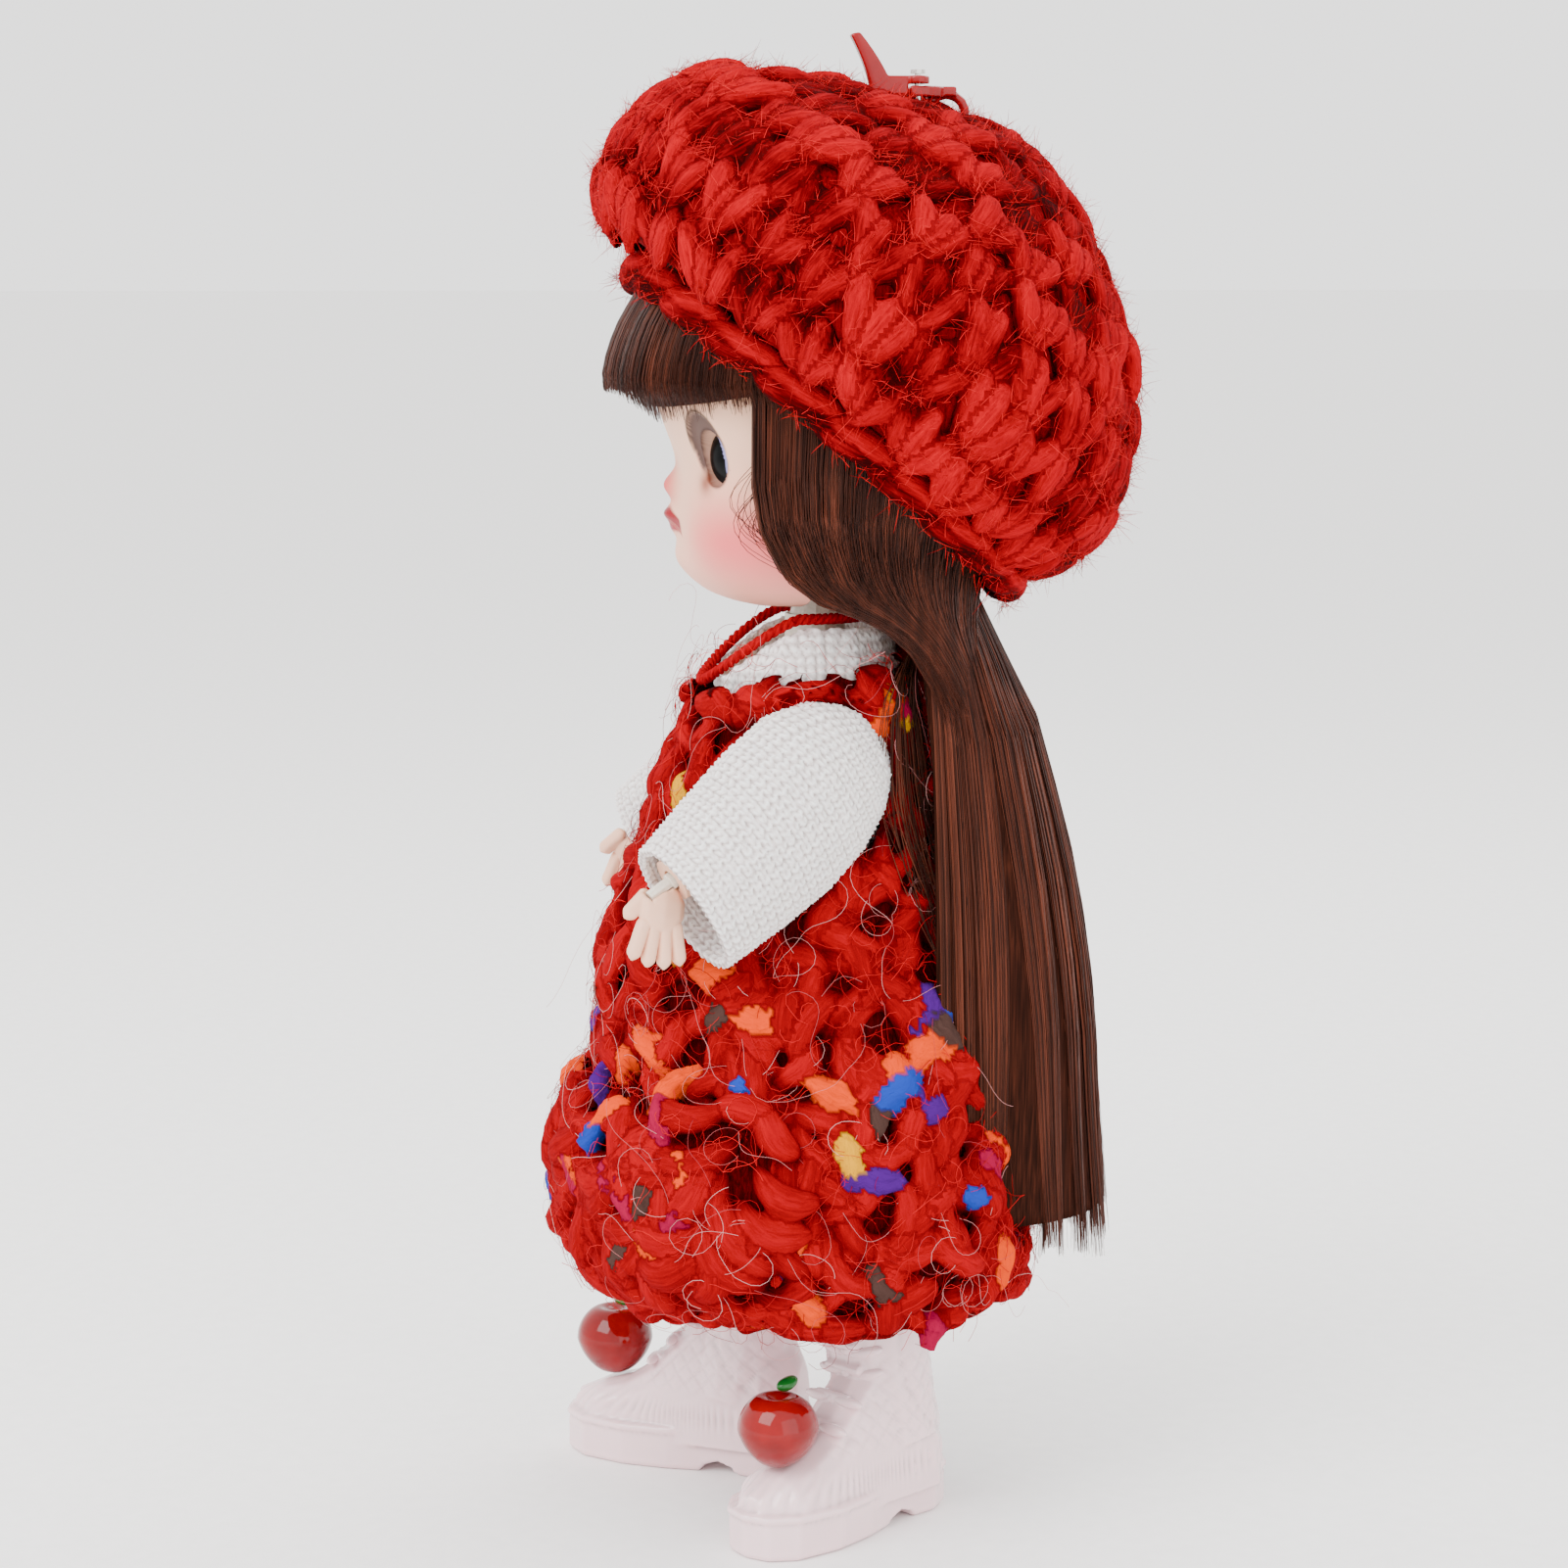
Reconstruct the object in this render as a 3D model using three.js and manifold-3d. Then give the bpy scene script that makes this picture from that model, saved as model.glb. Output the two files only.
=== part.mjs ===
// Jointed doll charm in a crocheted dress, hat and lace-up boots, with a trigger clasp on the hat.
// Millimetres, +Z up. The doll faces -Y and its left side is +X.
import * as THREE from "three";
import { mergeVertices } from "three/addons/utils/BufferGeometryUtils.js";
import Module from "manifold-3d";

const wasm = await Module();
wasm.setup();

// Clearances between pieces
const SEAT_GAP = 0.3;
const CLOTH_GAP = 0.4;
const HAIR_GAP = 0.8;
const SPLIT_GAP = 0.3;

// Head
const HEAD_WALL = 1.3;
const HEAD_SPLIT_Y = 3;
const HEAD_BACK_WALL = 1.4;
const NOD_HEIGHT = 109.6;
const NOD_Y = -1;
const NOD_BARREL_RADIUS = 2.4;
const NOD_BARREL_LENGTH = 8;
const NECK_HOLE_RADIUS = 5.4;
const EYE_X = 12.6;
const EYE_HEIGHT = 124.6;
const EYE_SURFACE_Y = -15.1;
const EYE_TOE_OUT = 27;
const EYE_RADIUS = 4.4;
const EYE_OPENING_HALF_WIDTH = 4.2;
const EYE_OPENING_HALF_HEIGHT = 3.7;
const CARRIER_THICKNESS = 1.4;
const CARRIER_HEIGHT = 4;
const CARRIER_HALF_LENGTH = 18.6;
const HEAD_SCREW_HEIGHT = 141;
const SCREW_SHAFT_RADIUS = 0.8;
const SCREW_HEAD_RADIUS = 1.7;
const SCREW_HEAD_HEIGHT = 1.2;
const SCREW_BOSS_WALL = 1.1;

// Hair
const CAP_THICKNESS = 1.3;
const CAP_EDGE_HEIGHT = 9;
const SIDE_HAIR_THICKNESS = 1.9;
const SIDE_HAIR_FRONT_Y = -11.4;
const SIDE_HAIR_BOTTOM = 107.4;
const BANGS_BOTTOM = 129.2;
const BANGS_BOTTOM_SLOPE = 0.35;
const BANGS_FRONT_Y = -20;
const HAIR_LOCKS = 12;
const HAIR_LOCK_DEPTH = 0.5;
const HAIR_FALL_BOTTOM = 29.5;
const HAIR_OVER_DRESS = 2;
const SLEEVE_SWEEP_RADIUS = 11;

// Beret, in its own frame: height is measured up from the opening
const BERET_Y = -2.85;
const BERET_HEIGHT = 124.1;
const BERET_TILT = 40;
const BERET_WALL = 3.4;
const CROWN_BOTTOM = 4.4;
const BRIM_RADIUS_X = 28.9;
const BRIM_RADIUS_Y = 27.8;
const BRIM_TUBE = 2;
const STITCHES_ROUND = 13;
const STITCH_ROWS = 5;
const STITCH_DEPTH = 1.1;

// Clasp, in its own frame: origin at the centre of its eye, hook towards -Y
const CLASP_Y = 13;
const CLASP_HEIGHT = 161.9;
const CLASP_EYE_RADIUS = 2.2;
const CLASP_WIRE = 0.55;
const PLATE_BOTTOM = 1.9;
const PLATE_THICKNESS = 1.1;
const PLATE_CENTRE_Y = -6;
const PLATE_HALF_LENGTH = 5.8;
const PLATE_HALF_WIDTH = 3.6;
const HOOK_OPENING_Y = -6.4;
const HOOK_OPENING_HALF_LENGTH = 3.4;
const HOOK_OPENING_HALF_WIDTH = 1.5;
const GATE_FRONT_Y = -9.4;
const GATE_REAR_Y = -4.5;
const GATE_PIN_X = 2.3;
const GATE_PIN_Y = -3.6;
const GATE_PIN_RADIUS = 0.35;
const GATE_KNUCKLE_RADIUS = 1.3;
const GATE_KNUCKLE_THICKNESS = 0.8;
const GATE_TAB_HEIGHT = 4.6;
const SPRING_RADIUS = 0.85;
const SPRING_WIRE = 0.2;
const SPRING_TURNS = 3;
const SPRING_STEPS = 8;
const LOOP_RADIUS = 1.7;
const LOOP_YARN = 0.7;

// Neck and torso
const TORSO_WALL = 1.5;
const NECK_Y = -2;
const NECK_RADIUS = 3.5;
const NECK_SHAFT_RADIUS = 2.7;
const NECK_FLANGE_RADIUS = 3.8;
const NECK_FLANGE_HEIGHT = 92;
const NECK_FLANGE_THICKNESS = 1.8;
const NECK_STEP_HEIGHT = 99.6;
const WAIST_CAVITY_BOTTOM = 68;
const WAIST_CAVITY_TOP = 83.5;
const TORSO_SCREW_HEIGHTS = [86.6, 65.6];

// Shirt and dress
const SHIRT_THICKNESS = 0.9;
const SHIRT_BOTTOM = 67;
const SHIRT_ARMHOLE_RADIUS = 5.4;
const NECKLINE_Y = -5.4;
const NECKLINE_LEVEL_Y = -4.6;
const NECKLINE_HEIGHT = 105;
const NECKLINE_DIP = 7.6;
const TRIM_RADIUS_X = 8.5;
const TRIM_RADIUS_Y = 9.8;
const TRIM_CORD = 0.75;
const DRESS_THICKNESS = 2.8;
const DRESS_BOTTOM = 27;
const PUFFS_ROUND = 11;
const PUFF_ROWS = 7;
const PUFF_DEPTH = 1.0;
const DRESS_NECK_HALF_WIDTH = 9.0;
const DRESS_NECK_BOTTOM = 95.4;
const DRESS_STRAP_TOP = 101.4;
const ARMHOLE_RADIUS = 9.4;
const ARMHOLE_Y = -3;
const ARMHOLE_HEIGHT = 87.4;
const ARMHOLE_INNER_X = 11.2;
const POCKET_BOTTOM = 27.6;
const POCKET_TOP = 52.5;
const POCKET_REAR_Y = -5;

// Arms: shoulder pivot, then lengths down the arm
const SHOULDER_X = 14;
const SHOULDER_Y = -2.6;
const SHOULDER_HEIGHT = 89;
const ARM_FORWARD = 57;
const ARM_OUTWARD = 20;
const SHOULDER_BARREL_RADIUS = 2.4;
const SHOULDER_BARREL_INNER_X = 6.2;
const SHOULDER_FLANGE_RADIUS = 3.6;
const SHOULDER_FLANGE_THICKNESS = 1.4;
const TRUNNION_RADIUS = 1.1;
const TONGUE_THICKNESS = 2.6;
const ARM_RADIUS = 3.7;
const ELBOW_RADIUS = 3.3;
const UPPER_ARM_LENGTH = 12;
const FOREARM_LENGTH = 10.5;
const WRIST_RADIUS = 2.6;
const WRIST_BORE_RADIUS = 1.3;
const WRIST_STEM_RADIUS = 0.7;
const WRIST_PEG_DEPTH = 4.2;
const WRIST_STANDOFF = 0.9;
const PIN_RADIUS = 0.8;
const PIN_HOLE_CLEARANCE = 0.3;
const ELBOW_TONGUE = 2.4;
const HAND_BEND = 48;
const PALM_LENGTH = 4.6;
const PALM_WIDTH = 5.4;
const PALM_THICKNESS = 2.4;
const FINGER_LENGTH = 4.4;
const FINGER_RADIUS = 0.72;
const SLEEVE_THICKNESS = 0.9;
const SLEEVE_LENGTH = 24;
const SLEEVE_TOP = 6.4;
const SLEEVE_SHIFT = 1.7;
const SLEEVE_SEAM_X = 13.1;

// Legs: hip pivot, then lengths down the leg
const HIP_X = 7;
const HIP_Y = -1.5;
const HIP_HEIGHT = 61;
const LEG_OUTWARD = 3;
const STRIDE_LEFT = 8.2;
const STRIDE_RIGHT = -9.5;
const HIP_BARREL_RADIUS = 2.9;
const HIP_BARREL_HALF_LENGTH = 3.8;
const HIP_TONGUE_WIDTH = 4;
const HIP_TRUNNION_DROP = 9;
const THIGH_TOP_DROP = 7;
const THIGH_RADIUS = 5;
const KNEE_RADIUS = 4.5;
const THIGH_LENGTH = 21;
const SHIN_RADIUS = 4.3;
const ANKLE_RADIUS = 3.7;
const SHIN_LENGTH = 26;
const KNEE_TONGUE = 3.2;
const KNEE_SHOULDER_DROP = 5.1;
const ANKLE_PEG_RADIUS = 1.5;
const ANKLE_PEG_LENGTH = 5;

// Boots, in their own frame: origin on the floor below the ankle, toe towards -Y
const TOE_OUT_LEFT = 40;
const TOE_OUT_RIGHT = 30;
const BOOT_TOE = 23.4;
const BOOT_HEEL = 8;
const SOLE_HALF_WIDTH = 6.3;
const SOLE_THICKNESS = 4.6;
const WELT_PROUD = 0.4;
const WELT_THICKNESS = 0.7;
const SHAFT_RADIUS = 6.2;
const SHAFT_TOP = 31;
const INSOLE_HEIGHT = 4.6;
const LACE_RUNGS = 6;
const LACE_BOTTOM = 13;
const LACE_TOP = 27;
const LACE_RADIUS = 0.6;
const LACE_HALF_LENGTH = 2.6;
const APPLE_RADIUS = 4.65;
const APPLE_REACH = 17.8;
const APPLE_SEAT_HEIGHT = 9.5;
const LEAF_LENGTH = 2.6;

// Materials
const finish = (color, roughness, metalness = 0) => new THREE.MeshStandardMaterial({ color, roughness, metalness });
const skin = finish(0xf3d5c5, 0.45);
const plasticCore = finish(0xe8d6cb, 0.5);
const eyeGlass = finish(0x26262c, 0.08);
const steel = finish(0xb9bcc0, 0.3, 1);
const hair = finish(0x4a2a22, 0.5);
const redWool = finish(0xc8101c, 0.95);
const redYarn = finish(0xb51220, 0.9);
const redEnamel = finish(0xe0283a, 0.25, 0.2);
const whiteKnit = finish(0xf5f1f0, 0.9);
const dressWool = finish(0xb81426, 0.95);
const bootVinyl = finish(0xf0e6e8, 0.2);
const appleRed = finish(0xcf1220, 0.1);
const leafGreen = finish(0x13803f, 0.2);

// A closed geometry as a solid that can be joined and cut, with its faces turned outwards
function solid(geometry) {
  const bare = geometry.index ? geometry.toNonIndexed() : geometry.clone();
  const position = new THREE.BufferGeometry().setAttribute("position", bare.getAttribute("position"));
  const merged = mergeVertices(position, 1e-4);
  const index = merged.index.array;
  const points = merged.attributes.position;
  const corner = [0, 1, 2].map(() => new THREE.Vector3());
  const triangles = [];
  let volume = 0;
  for (let i = 0; i < index.length; i += 3) {
    const [a, b, c] = [index[i], index[i + 1], index[i + 2]];
    if (a === b || b === c || c === a) continue;
    triangles.push(a, b, c);
    [a, b, c].forEach((at, k) => corner[k].fromBufferAttribute(points, at));
    volume += corner[0].dot(corner[1].cross(corner[2]));
  }
  if (volume < 0) triangles.reverse();
  const mesh = { numProp: 3, vertProperties: points.array, triVerts: new Uint32Array(triangles) };
  return new wasm.Manifold(new wasm.Mesh(mesh));
}

function geometryOf(shape) {
  const mesh = shape.getMesh();
  const geometry = new THREE.BufferGeometry();
  geometry.setAttribute("position", new THREE.BufferAttribute(mesh.vertProperties, 3));
  geometry.setIndex(new THREE.BufferAttribute(mesh.triVerts, 1));
  geometry.computeVertexNormals();
  return geometry;
}

const joined = (...shapes) => shapes.reduce((whole, shape) => whole.add(shape));
const cut = (shape, ...tools) => tools.reduce((left, tool) => left.subtract(tool), shape);

function box(x0, x1, y0, y1, z0, z1) {
  const geometry = new THREE.BoxGeometry(x1 - x0, y1 - y0, z1 - z0);
  return solid(geometry.translate((x0 + x1) / 2, (y0 + y1) / 2, (z0 + z1) / 2));
}

// Cylinder with its axis along one of the three axes, centred at (x, y, z)
function rod(axis, radius, length, x, y, z, sides = 16, endRadius = radius) {
  const geometry = new THREE.CylinderGeometry(endRadius, radius, length, sides);
  if (axis === "x") geometry.rotateZ(-Math.PI / 2);
  if (axis === "z") geometry.rotateX(Math.PI / 2);
  return solid(geometry.translate(x, y, z));
}

function ball(radiusX, radiusY, radiusZ, x, y, z, around = 16, down = 10) {
  const geometry = new THREE.SphereGeometry(1, around, down).rotateX(Math.PI / 2);
  return solid(geometry.scale(radiusX, radiusY, radiusZ).translate(x, y, z));
}

// Closed surface through a stack of rings with the same number of points, counter-clockwise from above
function loft(rings) {
  const count = rings[0].length;
  const points = rings.flat();
  const last = rings.length - 1;
  const middle = (ring) => ring.reduce((sum, p) => sum.add(p), new THREE.Vector3()).divideScalar(count);
  points.push(middle(rings[0]), middle(rings[last]));
  const [low, high] = [points.length - 2, points.length - 1];
  const faces = [];
  for (let j = 0; j < count; j += 1) {
    const k = (j + 1) % count;
    faces.push(low, k, j, high, last * count + j, last * count + k);
    for (let i = 0; i < last; i += 1) {
      const [a, b] = [i * count, (i + 1) * count];
      faces.push(a + j, a + k, b + k, a + j, b + k, b + j);
    }
  }
  const geometry = new THREE.BufferGeometry();
  geometry.setAttribute("position", new THREE.Float32BufferAttribute(points.flatMap((p) => p.toArray()), 3));
  geometry.setIndex(faces);
  return solid(geometry);
}

// Smooth values between rows of a size table, whose first column is the height
function between(table, height) {
  const last = table.length - 1;
  const at = THREE.MathUtils.clamp(height, table[0][0], table[last][0]);
  let i = 0;
  while (i < last - 1 && at > table[i + 1][0]) i += 1;
  const [p, q] = [table[i], table[i + 1]];
  const before = table[Math.max(i - 1, 0)];
  const after = table[Math.min(i + 2, last)];
  const span = q[0] - p[0];
  const t = (at - p[0]) / span;
  return p.slice(1).map((value, c) => {
    const slopeIn = (q[c + 1] - before[c + 1]) / (q[0] - before[0]);
    const slopeOut = (after[c + 1] - value) / (after[0] - p[0]);
    const rise = (2 * t ** 3 - 3 * t ** 2 + 1) * value + (3 * t ** 2 - 2 * t ** 3) * q[c + 1];
    return rise + span * ((t ** 3 - 2 * t ** 2 + t) * slopeIn + (t ** 3 - t ** 2) * slopeOut);
  });
}

const heights = (from, to, count) => Array.from({ length: count }, (_, i) => from + ((to - from) * i) / (count - 1));
const bump = (distance, width) => Math.exp(-0.5 * (distance / width) ** 2);
const roundedPower = (value, power) => Math.sign(value) * Math.abs(value) ** power;

// Body of oval sections: a table row holds height, half width, front and back
function form(table, { grow = 0, levels, around = 32, angles, squareness = 2, shape = (p) => p }) {
  const bottom = table[0][0];
  const top = table[table.length - 1][0];
  const middle = (bottom + top) / 2;
  const stretch = (top - bottom + 2 * grow) / (top - bottom);
  const places = angles ?? Array.from({ length: around }, (_, j) => (2 * Math.PI * j) / around);
  return loft(
    levels.map((height) => {
      const [halfWidth, front, back] = between(table, height);
      const centre = (front + back) / 2;
      const halfDepth = (back - front) / 2 + grow;
      return places.map((angle) => {
        const x = (halfWidth + grow) * roundedPower(Math.cos(angle), 2 / squareness);
        const y = centre + halfDepth * roundedPower(Math.sin(angle), 2 / squareness);
        return shape(new THREE.Vector3(x, y, middle + (height - middle) * stretch), angle, height);
      });
    }),
  );
}

const rad = THREE.MathUtils.degToRad;
const doll = new THREE.Group();

function pivot(name, parent, position, rotation = [0, 0, 0]) {
  const group = new THREE.Group();
  group.name = name;
  group.position.set(...position);
  group.rotation.set(...rotation.map(rad));
  parent.add(group);
  return group;
}

function piece(name, shape, material, parent) {
  const mesh = new THREE.Mesh(geometryOf(shape), material);
  mesh.name = name;
  parent.add(mesh);
  return mesh;
}

// A solid moved from one group's frame to another's
function carried(shape, from, to) {
  doll.updateMatrixWorld(true);
  const step = to.matrixWorld.clone().invert().multiply(from.matrixWorld);
  return solid(geometryOf(shape).applyMatrix4(step));
}

const moved = (shape, x, y, z) => solid(geometryOf(shape).translate(x, y, z));
const mirrored = (shape) => solid(geometryOf(shape).scale(-1, 1, 1));

// Head form: height, half width, front and back
const headTable = [
  [106.2, 5.5, -9.5, 1.0],
  [106.8, 8.5, -12.0, 4.5],
  [108, 12.5, -14.8, 8.0],
  [110, 16.0, -16.8, 11.5],
  [113, 19.2, -17.6, 15.0],
  [118, 21.9, -17.9, 19.5],
  [123, 23.0, -18.2, 22.6],
  [128, 23.4, -19.8, 24.6],
  [134, 23.4, -20.6, 25.6],
  [140, 22.9, -19.8, 25.2],
  [146, 21.0, -17.4, 22.8],
  [150.5, 17.6, -14.0, 18.8],
  [154, 13.0, -9.5, 14.2],
  [156.6, 7.6, -4.0, 9.0],
  [157.8, 2.0, 1.0, 4.0],
];
const headTop = headTable[headTable.length - 1][0];
const headBottom = headTable[0][0];
const faceHeights = [
  headBottom,
  ...heights(107.6, 111.6, 3),
  ...heights(113.2, 121.6, 8),
  ...heights(124.5, 138, 3),
  147,
  153.5,
  headTop,
];
const coarseHeights = [headBottom, 107.6, 110.5, 115, 122, 130, 139, 147, 152.5, headTop];
const faceAngles = [0, 3.5, 8, 14, 22, 32, 44, 57, 71, 85, 105];
const headAngles = [
  ...faceAngles.map((offset) => offset - 90).slice(1),
  90,
  ...faceAngles.map((offset) => 270 - offset).reverse(),
].map((angle) => THREE.MathUtils.degToRad(angle));

// Nose, pursed lips, chin and cheeks, as bumps on the front of the head
function faceRelief(point) {
  if (point.y > -4) return point;
  const side = Math.abs(point.x);
  const nose = 1.1 * bump(side, 1.7) * bump(point.z - 119.9, 1.2);
  const upperLip = 1.6 * bump(side, 2.1) * bump(point.z - 116.6, 0.8);
  const lowerLip = 0.7 * bump(side, 1.8) * bump(point.z - 114.9, 0.6);
  const chin = 0.7 * bump(side, 3) * bump(point.z - 111.6, 1.4);
  const cheek = 0.9 * bump(side - 12, 4) * bump(point.z - 114, 3.4);
  const bridge = 0.35 * bump(side, 2.2) * bump(point.z - 124, 3);
  point.y -= nose + upperLip + lowerLip + chin + cheek - bridge;
  return point;
}

const headForm = (grow, around = 20) => form(headTable, { grow, levels: coarseHeights, around, squareness: 2.15 });
const headOuter = form(headTable, { levels: faceHeights, angles: headAngles, squareness: 2.15, shape: faceRelief });
const headHollow = headForm(-HEAD_WALL, 16);
const headClear = headForm(HAIR_GAP);

// Joint frames of the head
const headPivot = pivot("head_nod", doll, [0, NOD_Y, NOD_HEIGHT]);
const fromHead = (shape) => carried(shape, doll, headPivot);

function eyeFrame(side) {
  return pivot("eye_socket", headPivot, [side * EYE_X, EYE_SURFACE_Y - NOD_Y, EYE_HEIGHT - NOD_HEIGHT], [
    0,
    0,
    side * EYE_TOE_OUT,
  ]);
}
const eyeFrames = [1, -1].map(eyeFrame);

function eyeOpening() {
  const outline = new THREE.CylinderGeometry(1, 1, 6, 16);
  return solid(outline.scale(EYE_OPENING_HALF_WIDTH, 1, EYE_OPENING_HALF_HEIGHT));
}

function boreAlongY(radius, y0, y1, z) {
  return rod("y", radius, y1 - y0, 0, (y0 + y1) / 2, z, 8);
}

// Head shells, closed by one screw above the eyes, with ribs that clip the eye bar and the neck barrel between them
const faceEdgeY = HEAD_SPLIT_Y - SPLIT_GAP / 2;
const backEdgeY = HEAD_SPLIT_Y + SPLIT_GAP / 2;
const neckHole = rod("z", NECK_HOLE_RADIUS, 6, 0, NOD_Y, headBottom, 14);
const screwBossRadius = SCREW_HEAD_RADIUS + SCREW_BOSS_WALL;
const screwSeatY = 14;
const screwTipY = -8;
const headInside = headForm(-0.2, 20);
const frontHalf = box(-40, 40, -40, faceEdgeY, 90, 180);
const backHalf = box(-40, 40, backEdgeY, 40, 90, 180);
const cradleWidth = NOD_BARREL_LENGTH / 2 + SEAT_GAP;
const cradleTop = NOD_HEIGHT + NOD_BARREL_RADIUS + 2.2;
const barrelSeat = joined(
  rod("x", NOD_BARREL_RADIUS + SEAT_GAP, 2 * cradleWidth, 0, NOD_Y, NOD_HEIGHT, 14),
  box(-cradleWidth, cradleWidth, NOD_Y - NECK_RADIUS - 1.2, backEdgeY, NOD_HEIGHT - 6, NOD_HEIGHT),
);
const nodCradle = joined(
  box(-cradleWidth - 1.6, cradleWidth + 1.6, NOD_Y - 5.6, faceEdgeY, NOD_HEIGHT - 1.2, cradleTop),
  box(-3, 3, -40, NOD_Y - 5, NOD_HEIGHT + 1.4, cradleTop),
);
const nodKeeper = box(-9, 9, backEdgeY + 0.2, backEdgeY + 2.2, headBottom, NOD_HEIGHT + 3);
const eyeBackY = EYE_SURFACE_Y + EYE_RADIUS * Math.cos(rad(EYE_TOE_OUT)) + EYE_RADIUS + 0.2 + SEAT_GAP;
const carrierRearY = eyeBackY + CARRIER_THICKNESS;
const carrierPosts = (y0, y1) =>
  [1, -1].map((side) => {
    const inner = side * (CARRIER_HALF_LENGTH - 1.6);
    const outer = side * 30;
    const low = EYE_HEIGHT - CARRIER_HEIGHT / 2 + 0.4;
    return box(Math.min(inner, outer), Math.max(inner, outer), y0, y1, low, low + CARRIER_HEIGHT - 0.8);
  });
const faceFittings = joined(
  boreAlongY(screwBossRadius, -40, faceEdgeY, HEAD_SCREW_HEIGHT),
  cut(nodCradle, barrelSeat),
  ...carrierPosts(eyeBackY - SEAT_GAP - 2, eyeBackY - SEAT_GAP),
);
const backFittings = joined(
  boreAlongY(screwBossRadius, backEdgeY, 40, HEAD_SCREW_HEIGHT),
  nodKeeper,
  ...[1, -1].map((side) => {
    const x = side * (CARRIER_HALF_LENGTH - 0.8);
    return box(x - 0.8, x + 0.8, carrierRearY + SEAT_GAP, backEdgeY + 3, EYE_HEIGHT - 1.4, EYE_HEIGHT + 1.4);
  }),
  ...[1, -1].map((side) => {
    const x = side * CARRIER_HALF_LENGTH;
    return box(Math.min(x, side * 30), Math.max(x, side * 30), backEdgeY, backEdgeY + 3, EYE_HEIGHT - 1.4, EYE_HEIGHT + 1.4);
  }),
);
const shellFront = cut(headOuter, headHollow).intersect(frontHalf);
const shellBack = cut(headForm(0), headForm(-HEAD_BACK_WALL, 16)).intersect(backHalf);
const eyeCuts = eyeFrames.map((frame) => carried(eyeOpening(), frame, doll));
const facePlate = cut(
  joined(shellFront, faceFittings.intersect(headInside)),
  neckHole,
  boreAlongY(SCREW_SHAFT_RADIUS + 0.1, screwTipY - 1, HEAD_SPLIT_Y + 1, HEAD_SCREW_HEIGHT),
  ...eyeCuts,
);
const headBack = cut(
  joined(shellBack, backFittings.intersect(headInside)),
  neckHole,
  boreAlongY(SCREW_SHAFT_RADIUS + SEAT_GAP, 0, screwSeatY, HEAD_SCREW_HEIGHT),
  boreAlongY(SCREW_HEAD_RADIUS + SEAT_GAP, screwSeatY - SCREW_HEAD_HEIGHT, 40, HEAD_SCREW_HEIGHT),
);
piece("face_plate", fromHead(facePlate), skin, headPivot);
piece("head_back", fromHead(headBack), plasticCore, headPivot);

function screw(tip, seat, height) {
  const shaft = boreAlongY(SCREW_SHAFT_RADIUS - 0.25, tip, seat, height);
  const head = boreAlongY(SCREW_HEAD_RADIUS, seat - SCREW_HEAD_HEIGHT + SEAT_GAP, seat + SEAT_GAP, height);
  return joined(shaft, head);
}
piece("head_screw", fromHead(screw(screwTipY, screwSeatY + 0.2, HEAD_SCREW_HEIGHT)), steel, headPivot);

// Eyes and the bar that backs them
eyeFrames.forEach((frame, i) => {
  const eye = ball(EYE_RADIUS, EYE_RADIUS, EYE_RADIUS, 0, EYE_RADIUS + 0.15, 0, 14, 8);
  piece(["eye_left", "eye_right"][i], eye, eyeGlass, frame);
});
const eyeCarrier = box(
  -CARRIER_HALF_LENGTH,
  CARRIER_HALF_LENGTH,
  eyeBackY,
  carrierRearY,
  EYE_HEIGHT - CARRIER_HEIGHT / 2,
  EYE_HEIGHT + CARRIER_HEIGHT / 2,
);
piece("eye_carrier", fromHead(eyeCarrier), plasticCore, headPivot);

// Beret frame: its local Z is square to the opening
const beret = pivot("beret", headPivot, [0, BERET_Y - NOD_Y, BERET_HEIGHT - NOD_HEIGHT], [-BERET_TILT, 0, 0]);
// Crown: height, radius and how far its centre lies behind the opening's
const crownTable = [
  [CROWN_BOTTOM, 31.4, -2.4],
  [8, 34.2, -3.2],
  [13, 35.6, -3.4],
  [19, 34.8, -4.0],
  [25, 31.4, -4.4],
  [30, 25.9, -3.3],
  [34.2, 20.4, -3.0],
  [38, 13.6, -3.0],
  [40.5, 7.0, -3.0],
  [41.6, 1.4, -2.8],
];
const crownTop = crownTable[crownTable.length - 1][0];

// Puffy stitches: each row is a swelling, broken into stitches that step half a stitch from row to row
function stitchRelief(angle, share) {
  const row = share * STITCH_ROWS;
  const along = STITCHES_ROUND * angle + Math.PI * Math.floor(row);
  const fade = 1 - share ** 3;
  return STITCH_DEPTH * fade * (0.5 - 0.5 * Math.cos(2 * Math.PI * row)) * (0.65 + 0.35 * Math.cos(along)) - 0.3;
}

function crownForm(grow, rings, around, relief) {
  const span = crownTop - CROWN_BOTTOM;
  return loft(
    heights(0, 1, rings).map((share) => {
      const eased = Math.sin((share * Math.PI) / 2) ** 1.15;
      const height = CROWN_BOTTOM + span * eased;
      const [radius, centre] = between(crownTable, height);
      return Array.from({ length: around }, (_, j) => {
        const angle = (2 * Math.PI * j) / around;
        const out = Math.max(radius + grow + relief(angle, share), 0.4);
        return new THREE.Vector3(out * Math.cos(angle), out * Math.sin(angle) + centre, height + grow * eased);
      });
    }),
  );
}
const crownOuter = crownForm(0, 2 * STITCH_ROWS + 1, 3 * STITCHES_ROUND, stitchRelief);
const crownInner = joined(
  crownForm(-BERET_WALL, 6, 20, () => 0),
  rod("z", crownTable[0][1] - BERET_WALL, 8, 0, crownTable[0][2], CROWN_BOTTOM - 1, 20),
  carried(headForm(HAIR_GAP + SIDE_HAIR_THICKNESS + SEAT_GAP), doll, beret),
);

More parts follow.
